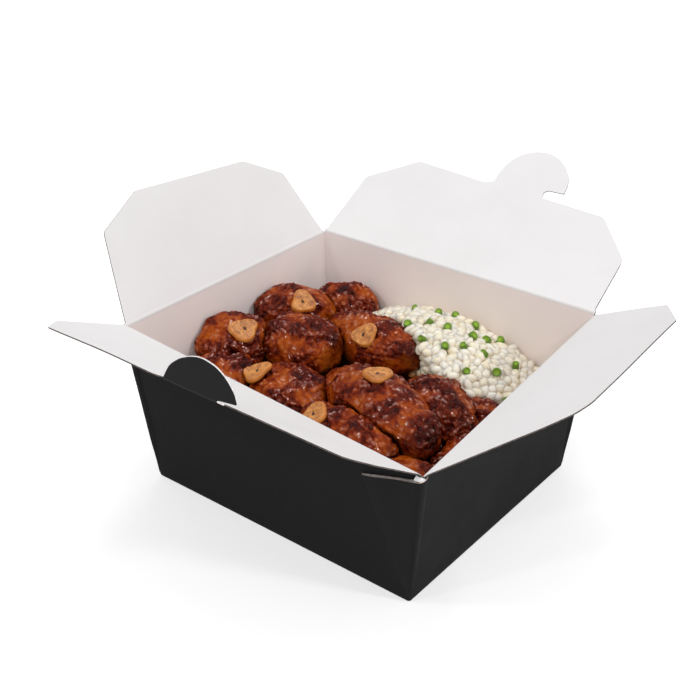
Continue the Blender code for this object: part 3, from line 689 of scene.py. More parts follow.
def makeFlap(name, spec):
    start, length, along, across, face = hingeFrame(spec)
    flat, faces = flapSheet(spec, length)
    u, v = flat.T
    w = spec["curl"] * (v / 40.0) ** 2
    size = flapSizes["rippleSize"]
    ripple = noise(np.stack([u / size, v / size, np.full_like(u, spec["angle"])], -1))
    w = w + flapSizes["ripple"] * ripple * v / 40.0
    if "bend" in spec:
        v, lift = bendTab(u, v, length)
        w = w + lift
    tilt = math.radians(spec.get("twist", 0.0)) * (1 - 2 * u / length)
    v, w = v * np.cos(tilt) - w * np.sin(tilt), v * np.sin(tilt) + w * np.cos(tilt)
    points = start + u[:, None] * along + v[:, None] * across + w[:, None] * face
    normals = pointNormals(points, faces)
    if (normals @ face).sum() > 0:
        faces = faces[:, ::-1]
    shell, faceSets, slots = thicken(points, faces, flapSizes["board"])
    rim = faceSets[2][:, 0]
    rimSlots = np.where(flat[rim, 1] < flapSizes["cut"] + 0.01, 0, 2)
    if "bend" in spec:
        over = flat[rim, 1] - edgeLine(flat[rim, 0], length)
        rimSlots = np.where((over > 0.3) & besideTab(flat[rim, 0], length), 3, rimSlots)
    slots[len(slots) - len(rim):] = rimSlots
    flap = putMesh(name + "_board", shell, faceSets, flapMaterials, slots, 50)
    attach(flap, spec["body"])
    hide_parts(name)
    makeCrease(name + "_crease", spec, start, length, along, across, face)


def makeCrease(name, spec, start, length, along, across, face):
    # rounded strip over the crease: a quadratic curve from the wall over to the flap
    reach, end = boxSizes["creaseReach"], boxSizes["creaseEnd"]
    u = np.linspace(end, length - end, 60)
    share = (u / length)[:, None]
    first, second = (unit(baseCorner[n] - rimCorner[n]) for n in spec["corners"])
    down = unitRows(first * (1 - share) + second * share)
    line = start + u[:, None] * along
    tilt = np.radians(spec.get("twist", 0.0)) * (1 - 2 * share)
    out = across * np.cos(tilt) + face * np.sin(tilt)
    t = np.linspace(0, 1, 13)[None, :, None]
    low, high = line + down * reach, line + out * reach
    flat = bow(t, low[:, None], line[:, None], high[:, None]).reshape(-1, 3)
    faces = gridQuads(len(u), 13)
    if (pointNormals(flat, faces) @ face).sum() > 0:
        faces = faces[:, ::-1]
    swell = boxSizes["creaseSwell"] * np.tile(np.sin(np.linspace(0, math.pi, 13)), len(u))
    shell, faceSets, slots = thicken(flat, faces, boxSizes["board"] - boxSizes["creaseThin"] + swell)
    strip = putMesh(name, shell, faceSets, flapMaterials, slots, 50)
    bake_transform(strip)


for flapName, flapSpec in flaps.items():
    makeFlap(flapName, flapSpec)
print("flaps made")


# Chicken

chicken = {
    "chicken_01": ((-40.0, 41.0, 38.8), (14.0, 12.0, 10.8), 36.0),
    "chicken_02": ((-50.0, 21.0, 42.0), (16.5, 13.5, 11.2), 38.0),
    "chicken_03": ((-51.5, -12.0, 43.2), (15.0, 14.0, 9.8), 28.0),
    "chicken_04": ((-31.0, 3.0, 41.8), (15.5, 14.5, 11.5), 22.0),
    "chicken_05": ((-13.0, 24.0, 40.3), (22.5, 12.5, 10.3), -9.0),
    "chicken_06": ((18.0, -14.5, 40.0), (30.5, 14.5, 12.5), -18.0),
    "chicken_07": ((-17.5, -20.0, 35.5), (18.0, 13.0, 9.8), 12.0),
    "chicken_08": ((-41.0, -28.0, 36.0), (15.0, 13.5, 9.8), -2.0),
    "chicken_09": ((18.3, -30.5, 36.3), (22.5, 12.5, 10.4), -5.0),
    "chicken_10": ((30.5, 3.0, 37.0), (18.5, 12.0, 10.0), -32.0),
    "chicken_11": ((44.0, 12.5, 32.5), (11.0, 9.0, 6.8), -23.0),
    "chicken_12": ((48.5, -39.0, 34.0), (15.5, 13.5, 9.2), -20.0),
    "chicken_13": ((-34.0, -45.0, 33.5), (17.5, 11.0, 9.6), 3.0),
    "chicken_14": ((-7.0, -43.5, 33.5), (16.0, 11.5, 9.6), 0.0),
    "chicken_15": ((55.0, -13.0, 34.0), (15.5, 9.5, 9.2), 85.0),
}
lumpSizes = {"lobes": 7, "lobeWidth": 5.0, "gap": 0.25, "wallGap": 0.45, "march": 36, "coarse": 16,
             "finer": 5, "soften": 0.05}
skin = {"fold": 8.5, "foldDepth": 1.0, "patch": 8.5, "large": 1.9, "largeDepth": 0.88, "small": 1.15,
        "smallDepth": 0.48, "furrow": 5.0, "furrowDepth": 0.44, "fine": 0.8, "fineDepth": 0.04}


class Lump:
    # a star-shaped piece: an ellipsoid whose radius swells over a few seeded lobes
    def __init__(self, index, centre, half, yaw):
        self.centre, self.half = np.array(centre), np.array(half)
        turn = math.radians(yaw)
        self.turn = np.array([[math.cos(turn), math.sin(turn), 0],
                              [-math.sin(turn), math.cos(turn), 0], [0, 0, 1]])
        rng = np.random.default_rng(40 + index)
        lobes = rng.normal(size=(lumpSizes["lobes"], 3))
        self.lobes = lobes / np.linalg.norm(lobes, axis=1, keepdims=True)
        self.swell = rng.uniform(-0.09, 0.11, lumpSizes["lobes"])

    def radius(self, directions):
        near = directions @ self.lobes.T
        return 1.0 + (self.swell * np.exp((near - 1.0) * lumpSizes["lobeWidth"])).sum(axis=-1)

    def depth(self, points):
        # 0 at the centre, 1 on the surface
        local = (points - self.centre) @ self.turn.T / self.half
        size = np.linalg.norm(local, axis=-1)
        return size / self.radius(local / np.maximum(size, 1e-6)[..., None])

    def place(self, directions, share):
        reach = self.radius(directions) * share
        return self.centre + (directions * reach[:, None] * self.half) @ self.turn


lumps = [Lump(i, *spec) for i, spec in enumerate(chicken.values())]


def wallX(side, y, z):
    # where the right (1) or left (-1) wall stands; the right and front walls lean out to their shared corner
    b = boxSizes
    splay = b["splay"] * (b["rimY"] / 2 - y) / b["rimY"] if side > 0 else 0.0
    return side * (b["baseX"] / 2 + z / b["height"] * ((b["rimX"] - b["baseX"]) / 2 + splay))


def wallY(side, x, z):
    b = boxSizes
    splay = b["splay"] * (x + b["rimX"] / 2) / b["rimX"] if side < 0 else 0.0
    return side * (b["baseY"] / 2 + z / b["height"] * ((b["rimY"] - b["baseY"]) / 2 + splay))


def roomInside(points):
    # distance inside the walls
    x, y, z = points[..., 0], points[..., 1], points[..., 2]
    room = [wallX(1, y, z) - x, x - wallX(-1, y, z), wallY(1, x, z) - y, y - wallY(-1, x, z)]
    return np.minimum.reduce(room) - halfBoard


def pieceGap(points):
    # distance to the nearest piece of chicken, below 0 inside one
    away = np.full(len(points), 50.0)
    for lump in lumps:
        away = np.minimum(away, (lump.depth(points) - 1.0) * lump.half.min())
    return away


def sharesOf(index, directions):
    # how far each direction may reach: to the surface, a wall, or half way to a neighbour
    lump = lumps[index]
    near = [other for other in lumps if other is not lump and np.linalg.norm(other.centre - lump.centre) < 60.0]
    result = np.ones(len(directions))
    last = None
    for step in np.linspace(1.0, 0.2, lumpSizes["march"]):
        points = lump.place(directions, np.full(len(directions), step))
        own = lump.depth(points)
        spare = roomInside(points) - lumpSizes["wallGap"]
        for other in near:
            scale = 0.5 * (min(lump.half) + min(other.half))
            spare = np.minimum(spare, (other.depth(points) - own) * scale - lumpSizes["gap"])
        if last is not None:
            crossing = (spare > 0) & (last[1] <= 0)
            part = spare / np.maximum(spare - last[1], 1e-9)
            found = step + (last[0] - step) * part
            result[crossing] = found[crossing]
        else:
            result[spare <= 0] = 0.2
        last = (step, spare)
    return result


def cubeSphere(cells):
    # directions over six square grids wrapped round a sphere, as six grids of points
    t = np.tan(np.linspace(-1, 1, cells + 1) * math.pi / 4)
    a, b = np.meshgrid(t, t, indexing="ij")
    one = np.ones_like(a)
    sides = [(one, a, b), (-one, b, a), (b, one, a), (a, -one, b), (a, b, one), (b, a, -one)]
    return np.array([unitRows(np.stack(side, -1)) for side in sides])


def refine(grid, times):
    # bilinear steps between the points of a square grid
    cells = grid.shape[0] - 1
    at = np.linspace(0, cells, cells * times + 1)
    low = np.minimum(at.astype(int), cells - 1)
    part = at - low
    rows = grid[low] * (1 - part)[:, None] + grid[low + 1] * part[:, None]
    return rows[:, low] * (1 - part) + rows[:, low + 1] * part


def smoothGrid(grid, times):
    for unused in range(times):
        inner = grid[1:-1, 1:-1]
        around = grid[:-2, 1:-1] + grid[2:, 1:-1] + grid[1:-1, :-2] + grid[1:-1, 2:]
        grid = grid.copy()
        grid[1:-1, 1:-1] = 0.5 * inner + 0.125 * around
    return grid


def skinRelief(points, seed):
    # broad folds, patches of round blisters in two sizes, and stretched skin with shallow furrows between,
    # all in mm along the normal
    moved = points + np.array([31.0, 17.0, 7.0]) * seed
    warp = np.stack([noise(moved / 5.0 + k * 9.1) for k in range(3)], -1) * 0.9
    folds = layered(moved, skin["fold"], 2) * skin["foldDepth"]
    patch = np.clip(0.56 + 1.9 * noise(moved / skin["patch"] + 3.3) + 0.5 * noise(moved / 3.5), 0.0, 1.0)
    large = np.maximum(1 - (pebbles(moved + warp, skin["large"], 5) / 0.78) ** 2, 0)
    small = np.maximum(1 - (pebbles(moved + warp, skin["small"], 90) / 0.75) ** 2, 0)
    furrow = np.minimum(np.abs(noise((moved + 2 * warp) / skin["furrow"])) * 3.5, 1.0) - 1.0
    bumps = patch * (skin["largeDepth"] * large + skin["smallDepth"] * small)
    bumps = bumps + (1 - patch) * 0.16 * large + furrow * skin["furrowDepth"] * (0.35 + 0.65 * patch)
    height = 0.55 * large + 0.30 * small + 0.45 * furrow
    return folds, bumps + noise(moved / skin["fine"]) * skin["fineDepth"], patch, height


def makeChicken(name, index, material):
    lump = lumps[index]
    coarse = cubeSphere(lumpSizes["coarse"])
    fine = cubeSphere(lumpSizes["coarse"] * lumpSizes["finer"])
    shares = sharesOf(index, coarse.reshape(-1, 3)).reshape(coarse.shape[:3])
    shares = np.array([refine(smoothGrid(side, 1), lumpSizes["finer"]) for side in shares])
    directions = fine.reshape(-1, 3)
    share = shares.reshape(-1)
    soft = lumpSizes["soften"]
    share = np.minimum(share, 1.0) - soft * np.exp(-np.abs(1.0 - share) / soft) * 0.5 + soft * 0.1
    cells = fine.shape[1]
    quads = np.concatenate([gridQuads(cells, cells) + k * cells * cells for k in range(6)])
    distinct, back = np.unique(np.round(directions, 5), axis=0, return_inverse=True)
    first = np.zeros(len(distinct), int)
    first[back.reshape(-1)] = np.arange(len(directions))
    quads = back.reshape(-1)[quads]
    directions, share = directions[first], share[first]
    points = lump.place(directions, share)
    quads = outward(points, quads, lump.centre)
    normals = pointNormals(points, quads)
    folds, small, rough, relief = skinRelief(points, index + 1)
    lift = np.minimum(folds + small - 0.35, roomInside(points) - 0.15)
    points = points + normals * lift[:, None]
    piece = putMesh(name + "_skin", points, [quads], [material])
    addAttribute(piece, "relief", np.clip(0.42 + relief * 0.70, 0, 1))
    addAttribute(piece, "rough", rough)
    ends = np.abs(((points - lump.centre) @ lump.turn.T)[:, 0]) / lump.half[0]
    charred = np.clip((ends - 0.70) * 2.2, 0, 1) * np.clip(0.5 + 1.6 * noise(points / 7.0 + index), 0, 1)
    addAttribute(piece, "char", charred)
    # near-black band just above the sauce pool: the sauce film on the skin, and painted shade under the pieces
    sauceAndShade = np.clip((sauceSizes["level"] + 4.5 - points[:, 2]) / 4.5, 0, 1)
    # where a piece is cut back by a neighbour or a wall: painted shade of the contact
    contactShade = np.clip((1.02 - share) * 6.0, 0, 1)
    addAttribute(piece, "sauceAndShade", np.maximum(sauceAndShade, contactShade))
    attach(piece, "box")
    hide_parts(name)


def outward(points, faces, centre):
    # turns each face that looks at the centre
    across = np.cross(points[faces[:, 2]] - points[faces[:, 0]], points[faces[:, 3]] - points[faces[:, 1]])
    inwards = (across * (points[faces[:, 0]] - centre)).sum(axis=1) < 0
    faces = faces.copy()
    faces[inwards] = faces[inwards][:, ::-1]
    return faces


glaze = {
    "tones": ((0.24, (0.026, 0.0014, 0.0003)), (0.38, (0.090, 0.0050, 0.0005)), (0.49, (0.190, 0.0165, 0.0009)),
              (0.61, (0.34, 0.046, 0.0020)), (0.75, (0.50, 0.098, 0.0050))),
    # the near-black of the sauce film and of the painted shade where pieces meet
    "char": (0.0060, 0.0028, 0.0020), "sauceAndShade": (0.014, 0.0018, 0.0008),
    "rough": 0.34, "specular": 0.06, "coatLow": 0.05, "coatHigh": 1.0, "coatRough": 0.03,
    "coatIor": 2.0, "blister": 850.0,
}


def glazedSkin():
    made, tree, shader = newMaterial("glazed_skin")
    place = objectPlace(tree)
    broad = grain(tree, 95.0, 3.0, 0.55, place)
    fleck = grain(tree, 420.0, 4.0, 0.65, place)
    blister = addNode(tree, "ShaderNodeTexVoronoi", (("Vector", place), ("Scale", glaze["blister"])),
                      feature="SMOOTH_F1").outputs["Distance"]
    # random tone, plus painted light and shade: lighter on the crests of the skin's relief, darker down in its
    # furrows and between the blisters; the rough patches are a darker red of their own
    toneAndShade = calculate(tree, "MULTIPLY_ADD", broad, 0.40, calculate(tree, "MULTIPLY", fleck, 0.26))
    toneAndShade = calculate(tree, "MULTIPLY_ADD", attributeOf(tree, "relief"), 0.40, toneAndShade)
    toneAndShade = calculate(tree, "MULTIPLY_ADD", attributeOf(tree, "rough"), -0.24, toneAndShade)
    toneAndShade = calculate(tree, "MULTIPLY_ADD", blister, -0.10, calculate(tree, "ADD", toneAndShade, 0.135))
    colour = tones(tree, toneAndShade, glaze["tones"])
    burnt = calculate(tree, "MULTIPLY", attributeOf(tree, "char"),
                      calculate(tree, "ADD", grain(tree, 500.0, 3.0, 0.6, place), 0.45))
    colour = blendColours(tree, burnt, colour, glaze["char"])
    # painted shade and sauce: near-black low down by the sauce pool and where a piece presses on a neighbour or
    # a wall
    colour = blendColours(tree, attributeOf(tree, "sauceAndShade"), colour, glaze["sauceAndShade"])
    rough = tones(tree, fleck, ((0.35, grey(glaze["rough"] - 0.08)), (0.7, grey(glaze["rough"] + 0.16))))
    crest = calculate(tree, "MULTIPLY_ADD", attributeOf(tree, "relief"), 0.75,
                      calculate(tree, "MULTIPLY", fleck, 0.45))
    wetness = tones(tree, crest, ((0.79, grey(glaze["coatLow"])), (0.90, grey(glaze["coatHigh"]))))
    setShader(tree, shader, Base_Color=colour, Roughness=rough, Specular_IOR_Level=glaze["specular"],
              Coat_Weight=wetness, Coat_Roughness=glaze["coatRough"], Coat_IOR=glaze["coatIor"],
              Subsurface_Weight=0.04, Subsurface_Scale=0.002, Subsurface_Radius=(1.0, 0.2, 0.05))
    pebble = calculate(tree, "MULTIPLY", blister, attributeOf(tree, "rough"))
    reliefOf(tree, shader, calculate(tree, "MULTIPLY_ADD", pebble, -1.0,
                                     calculate(tree, "MULTIPLY", grain(tree, 1100.0, 4.0, 0.7, place), 0.5)),
             0.0006, 0.8)
    reliefOf(tree, shader, pebble, -0.0004, 0.5, "Coat Normal")
    return made


sauceSizes = {"level": 33.0, "floor": 0.8, "gap": 0.45, "length": 122.0, "width": 100.0, "cell": 0.8,
              "climb": 1.5, "reach": 1.3, "ripple": 0.25}
riceLine = {"start": (-38.0, 44.0), "end": (57.6, -2.0)}

skinMaterial = glazedSkin()
for lumpIndex, lumpName in enumerate(chicken):
    makeChicken(lumpName, lumpIndex, skinMaterial)
print("chicken made")


# Sauce

def sauceMaterial():
    made, tree, shader = newMaterial("dark_sauce")
    broad = grain(tree, 140.0, 3.0, 0.6)
    colour = tones(tree, broad, ((0.35, (0.012, 0.0025, 0.0012)), (0.7, (0.045, 0.008, 0.002))))
    setShader(tree, shader, Base_Color=colour, Roughness=0.08, Coat_Weight=0.6, Coat_Roughness=0.03)
    reliefOf(tree, shader, grain(tree, 420.0, 2.0, 0.5), 0.0004, 0.3)
    return made


def frontLine(x):
    # the line that the rice stops at, where the sauce meets it
    (x0, y0), (x1, y1) = riceLine["start"], riceLine["end"]
    return y0 + (y1 - y0) * (x - x0) / (x1 - x0)


def closedBlock(name, s, t, place, top, floor, materials):
    # grid over the block's plan (s, t) with its top at each point, and walls down to a flat floor
    sGrid, tGrid = np.meshgrid(s, t, indexing="ij")
    x, y, z = top(sGrid.ravel(), tGrid.ravel())
    rows, columns = len(s), len(t)
    upper = np.stack([x, y, z], -1)
    index = np.arange(rows * columns).reshape(rows, columns)
    ring = np.concatenate([index[:-1, 0], index[-1, :-1], index[:0:-1, -1], index[0, :0:-1]])
    skirts = [upper[ring]]
    for share in (0.35, 0.7, 1.0):
        zAt = upper[ring, 2] * (1 - share) + floor * share
        px, py = place(sGrid.ravel()[ring], tGrid.ravel()[ring], zAt)
        skirts.append(np.stack([px, py, zAt], -1))
    count, length = len(upper), len(ring)
    points = np.concatenate([upper] + skirts[1:])
    number = np.concatenate([ring[None], count + np.arange(3 * length).reshape(3, length)])
    ahead = np.roll(number, -1, axis=1)
    sides = np.stack([number[:-1], number[1:], ahead[1:], ahead[:-1]], -1).reshape(-1, 4)
    middle = len(points)
    points = np.concatenate([points, [[*points[number[3]][:, :2].mean(axis=0), floor]]])
    bottom = np.stack([number[3], np.full(length, middle), np.roll(number[3], -1)], -1)
    faces = gridQuads(rows, columns)[:, ::-1]
    normals = pointNormals(points, faces)
    if normals[:count, 2].sum() < 0:
        faces, sides, bottom = faces[:, ::-1], sides[:, ::-1], bottom[:, ::-1]
    return putMesh(name, points, [faces, sides, bottom], materials)


def makeSauce():
    level = sauceSizes["level"]
    gap = halfBoard + sauceSizes["gap"]

    def place(s, t, z):
        # s from the left wall to the right, t from the front wall to the rice or the back wall
        left = wallX(-1, 0, z) + gap
        x = left + (wallX(1, -20.0, z) - gap - left) * s
        front = wallY(-1, x, z) + gap
        line = np.where(x < riceLine["start"][0], wallY(1, 0, z) - gap, frontLine(x))
        y = front + (line - front) * t
        right = wallX(1, y, z) - gap
        x = left + (right - left) * s
        return x, y

    def top(s, t):
        x, y = place(s, t, np.full_like(s, level))
        points = np.stack([x, y, np.full_like(x, level)], -1)
        away = np.maximum(pieceGap(points), 0)
        walls = np.maximum(roomInside(points) - sauceSizes["gap"], 0)
        climb = sauceSizes["climb"] * (np.exp(-away / sauceSizes["reach"])
                                       + 0.5 * np.exp(-walls / sauceSizes["reach"]))
        z = level + climb + sauceSizes["ripple"] * noise(points / 5.0)
        x, y = place(s, t, z)
        return x, y, z

    s = np.linspace(0, 1, int(sauceSizes["length"] / sauceSizes["cell"]))
    t = np.linspace(0, 1, int(sauceSizes["width"] / sauceSizes["cell"]))
    sauce = closedBlock("sauce_pool", s, t, place, top, sauceSizes["floor"], [sauceMaterial()])
    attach(sauce, "box")
    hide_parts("sauce")


makeSauce()
print("sauce made")


# Garlic

garlic = {
    "garlic_01": (2, (0.42, -0.42, 0.805), 20.0, (1.18, 0.95)),
    "garlic_02": (1, (0.209, -0.642, 0.737), 210.0, (0.98, 0.98)),
    "garlic_03": (4, (0.20, -0.708, 0.678), 200.0, (1.0, 0.95)),
    "garlic_04": (6, (-0.49, -0.30, 0.82), 95.0, (0.88, 1.08)),
    "garlic_05": (5, (-0.055, 0.064, 0.996), 10.0, (1.0, 1.0)),
    "garlic_06": (8, (-0.437, -0.473, 0.765), 260.0, (1.0, 1.0)),
}
garlicSizes = {"radius": 4.9, "thick": 1.8, "drape": 0.45, "search": 3.5, "sink": 0.25,
               "slitWidth": 0.48, "slitLength": 0.85, "ridge": 0.26, "dish": 0.25, "rimAt": 0.86}


def liftOver(points, normal):
    # height along the normal at which each point clears every piece
    lift = np.zeros(len(points))
    for height in np.arange(-garlicSizes["search"], garlicSizes["search"], 0.1):
        inside = np.zeros(len(points), dtype=bool)
        for lump in lumps:
            inside |= lump.depth(points + normal * height) < 1.0
        lift[inside] = height + 0.05
    return lift


def garlicMaterial():
    made, tree, shader = newMaterial("fried_garlic")
    place = objectPlace(tree)
    grainy = grain(tree, 2400.0, 4.0, 0.7, place)
    patch = grain(tree, 420.0, 3.0, 0.6, place)
    fleck = calculate(tree, "MULTIPLY_ADD", grainy, 0.5, calculate(tree, "MULTIPLY", patch, 0.5))
    colour = tones(tree, fleck, ((0.40, (0.28, 0.084, 0.011)), (0.50, (0.52, 0.185, 0.029)),
                                 (0.59, (0.74, 0.330, 0.070))))
    rim = tones(tree, attributeOf(tree, "spoke"), ((0.78, grey(0.0)), (0.88, grey(0.7))))
    colour = blendColours(tree, rim, colour, (0.60, 0.20, 0.020))
    slit = tones(tree, attributeOf(tree, "slit"), ((0.22, grey(0.0)), (0.5, grey(1.0))))
    colour = blendColours(tree, slit, colour, (0.055, 0.012, 0.003))
    setShader(tree, shader, Base_Color=colour, Roughness=0.42, Coat_Weight=0.25, Coat_Roughness=0.2,
              Subsurface_Weight=0.12, Subsurface_Scale=0.002, Subsurface_Radius=(1.0, 0.45, 0.12))
    reliefOf(tree, shader, grainy, 0.0002, 0.6)
    return made


def makeGarlic(name, host, direction, turn, stretch, material):
    # a profile from the middle of the top over the rounded edge to the middle of the underside,
    # carried round the slice's rounded-triangle outline
    g = garlicSizes
    lump = lumps[host]
    aim = unit(direction)
    centre = lump.place(aim[None], np.ones(1))[0]
    normal = unit((aim / lump.half) @ lump.turn)
    side = unit(np.cross((0, 0, 1), normal))
    other = np.cross(normal, side)
    angles = np.linspace(0, 2 * math.pi, 96, endpoint=False)
    bend, flatPart = np.linspace(math.pi / 2, -math.pi / 2, 11), np.linspace(0.02, 0.80, 16)
    edge, rimAt = g["thick"] / 2, g["rimAt"]
    reach = np.concatenate([flatPart, rimAt + (1 - rimAt) * np.cos(bend), flatPart[::-1]])
    height = np.concatenate([np.ones(16), np.sin(bend), -np.ones(16)]) * edge + edge
    swell = 0.13 * np.cos(3 * angles) - 0.08 * np.cos(angles) + 0.05 * np.sin(2 * angles)
    outline = g["radius"] * (1.0 + swell)
    spread = reach[:, None] * outline[None]
    a = angles + math.radians(turn)
    px, py = stretch[0] * spread * np.cos(a), stretch[1] * spread * np.sin(a)
    planar = centre + px[..., None] * side + py[..., None] * other
    flat = planar.reshape(-1, 3)
    lift = liftOver(flat, normal)
    lift = g["drape"] * lift + (1 - g["drape"]) * lift.max() - g["sink"]
    upper, shape = np.repeat(height, len(angles)), np.repeat(reach, len(angles))
    spin = np.tile(angles, len(reach))
    onTop = upper > edge
    ridge = g["ridge"] * np.exp(-((shape - rimAt) / 0.06) ** 2)
    dish = -g["dish"] * np.cos(np.clip(shape, 0, 1) * math.pi / 2) ** 2
    slitX = (shape * np.cos(spin)) * g["radius"]
    slitY = (shape * np.sin(spin)) * g["radius"]
    slit = np.exp(-(slitX / g["slitWidth"]) ** 2 - (slitY / g["slitLength"]) ** 2)
    rough = 0.10 * noise(flat / 0.9) + 0.07 * np.sin(spin * 26.0 + 3 * noise(flat / 2.0)) * shape
    raised = upper + np.where(onTop, ridge + dish - 0.7 * slit + rough, 0.0)
    points = flat + (lift + raised)[:, None] * normal
    rings, columns = len(reach), len(angles)
    faces = gridQuads(rings, columns, closed=True)
    ends = []
    for row, flip in ((0, 1), (rings - 1, -1)):
        middle = len(points)
        points = np.concatenate([points, [points[row * columns:(row + 1) * columns].mean(axis=0)]])
        first = row * columns + np.arange(columns)
        ends.append(np.stack([np.full(columns, middle), first, np.roll(first, -1)], -1)[:, ::flip])
    caps = np.concatenate(ends)
    if pointNormals(points, faces)[5 * columns] @ normal < 0:
        faces, caps = faces[:, ::-1], caps[:, ::-1]
    piece = putMesh(name + "_slice", points, [faces, caps[:, ::-1]], [material])
    addAttribute(piece, "spoke", np.append(np.where(onTop, shape, 1.0), [0.0, 0.0]))
    addAttribute(piece, "slit", np.append(slit * onTop, [1.0, 0.0]))
    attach(piece, "box")
    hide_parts(name)


goldMaterial = garlicMaterial()
for garlicName, garlicSpec in garlic.items():
    makeGarlic(garlicName, *garlicSpec, goldMaterial)
print("garlic made")


# Rice

rice = {"top": (6.0, 36.0, 48.3), "spread": (11.4, 10.75), "sink": 1.95, "half": (2.85, 1.88, 1.80),
        "pitch": 3.0, "seed": 5, "layers": (-1.9, -0.35), "segments": 8, "rings": 8, "clear": 0.3,
        "jitter": 0.62, "unevenness": 0.30, "tilt": 0.30, "greenRoom": 1.9, "ripple": 0.35}
greens = ((-12.4, 33.3), (-9.3, 45.2), (-1.9, 30.3), (4.4, 35.5), (7.9, 47.0), (11.6, 36.7), (17.2, 46.8),
          (21.2, 38.9), (25.6, 41.7), (28.2, 47.2), (22.5, 31.1), (17.6, 26.2), (8.6, 24.6), (29.5, 33.8),
          (39.3, 40.1), (37.2, 30.6), (29.8, 22.0), (46.0, 24.0), (1.8, 45.1), (29.7, 12.6), (37.5, 13.7))


def heapHeight(x, y):
    # a dome falling away from its highest place, with a low skirt round it
    (topX, topY, top), (spreadX, spreadY) = rice["top"], rice["spread"]
    dome = top - ((x - topX) / spreadX) ** 2 - ((y - topY) / spreadY) ** 2
    return np.maximum(dome, 31.0 + 0.15 * (dome - 31.0))


def riceMaterial(name, white, ivory):
    # stain: sauce soaked in; the other attribute gives how far down between the grains a point lies, where a
    # warm colour is blended in as painted shade
    made, tree, shader = newMaterial(name)
    patch = grain(tree, 260.0, 3.0, 0.6)
    colour = tones(tree, patch, ((0.35, ivory), (0.6, white)))
    stain = attributeOf(tree, "stain")
    # painted shade: the further down between the grains, the warmer the colour
    colour = blendColours(tree, attributeOf(tree, "painted_gap_shade"), colour, (0.97, 0.83, 0.57))
    colour = blendColours(tree, stain, colour, (0.50, 0.17, 0.025))
    setShader(tree, shader, Base_Color=colour, Roughness=0.36, Coat_Weight=0.25, Coat_Roughness=0.16,
              Subsurface_Weight=0.5, Subsurface_Scale=0.004, Subsurface_Radius=(1.0, 0.85, 0.62))
    reliefOf(tree, shader, grain(tree, 900.0, 3.0, 0.6), 0.00015, 0.35)
    return made


def clearOfPieces(points):
    return np.minimum(pieceGap(points), roomInside(points) - 1.5)


def makeRiceCore(material):
    gap = halfBoard + sauceSizes["gap"]

    def place(s, t, z):
        x0, y0 = riceLine["start"]
        endY = riceLine["end"][1]
        frontX = wallX(1, endY, z) - gap
        back = wallY(1, 0, z) - gap
        backX = wallX(1, back, z) - gap
        ax, ay = x0 + (frontX - x0) * s, y0 + (endY - y0) * s
        bx = x0 + (backX - x0) * s
        return ax + (bx - ax) * t, ay + (back - ay) * t

    def top(s, t):
        x, y = place(s, t, np.full_like(s, 40.0))
        z = heapHeight(x, y) - rice["sink"]
        x, y = place(s, t, z)
        z = z + rice["ripple"] * noise(np.stack([x, y, z], -1) / 2.2)
        return x, y, z

    core = closedBlock("rice_core", np.linspace(0.02, 1, 110), np.linspace(0.035, 1, 60), place, top,
                       sauceSizes["floor"], [material])
    co = np.zeros(len(core.data.vertices) * 3)
    core.data.vertices.foreach_get("co", co)
    addAttribute(core, "stain", stainOf(co.reshape(-1, 3) / mm))
    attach(core, "box")
    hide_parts("rice")


def stainOf(points):
    # sauce soaks into the grains near the line where the two meet, most at the right
    away = points[:, 1] - frontLine(points[:, 0])
    low = np.clip((38.5 - points[:, 2]) / 4.0, 0, 1)
    return np.clip(1.0 - away / 3.2, 0, 1) * low


def ballGrid(segments, rings):
    # unit ball as rings between two poles
    turn = np.linspace(0, 2 * math.pi, segments, endpoint=False)
    rise = np.linspace(0, math.pi, rings + 1)[1:-1]
    x = np.cos(rise)[:, None] + 0 * turn
    y = np.sin(rise)[:, None] * np.cos(turn)
    z = np.sin(rise)[:, None] * np.sin(turn)
    points = np.stack([x, y, z], -1).reshape(-1, 3)
    quads = gridQuads(rings - 1, segments, closed=True)
    last = (rings - 2) * segments + np.arange(segments)
    first = np.arange(segments)
    points = np.concatenate([points, [[1, 0, 0], [-1, 0, 0]]])
    start = np.stack([np.roll(first, -1), first, np.full(segments, len(points) - 2)], -1)
    end = np.stack([last, np.roll(last, -1), np.full(segments, len(points) - 1)], -1)
    return points, quads, np.concatenate([start, end])


def turned(yaw, pitch, roll):
    turns = Matrix.Rotation(yaw, 3, "Z") @ Matrix.Rotation(pitch, 3, "Y") @ Matrix.Rotation(roll, 3, "X")
    return np.array(turns)


def repeated(form, places, turns, sizes):
    # one joined mesh of a form laid at each place, turned and scaled
    points, quads, triangles = form
    count = len(points)
    laid = np.einsum("nij,nkj->nki", turns, points[None] * sizes[:, None, :]) + places[:, None, :]
    offset = (np.arange(len(places)) * count)[:, None, None]
    return laid.reshape(-1, 3), (quads[None] + offset).reshape(-1, 4), (triangles[None] + offset).reshape(-1, 3)


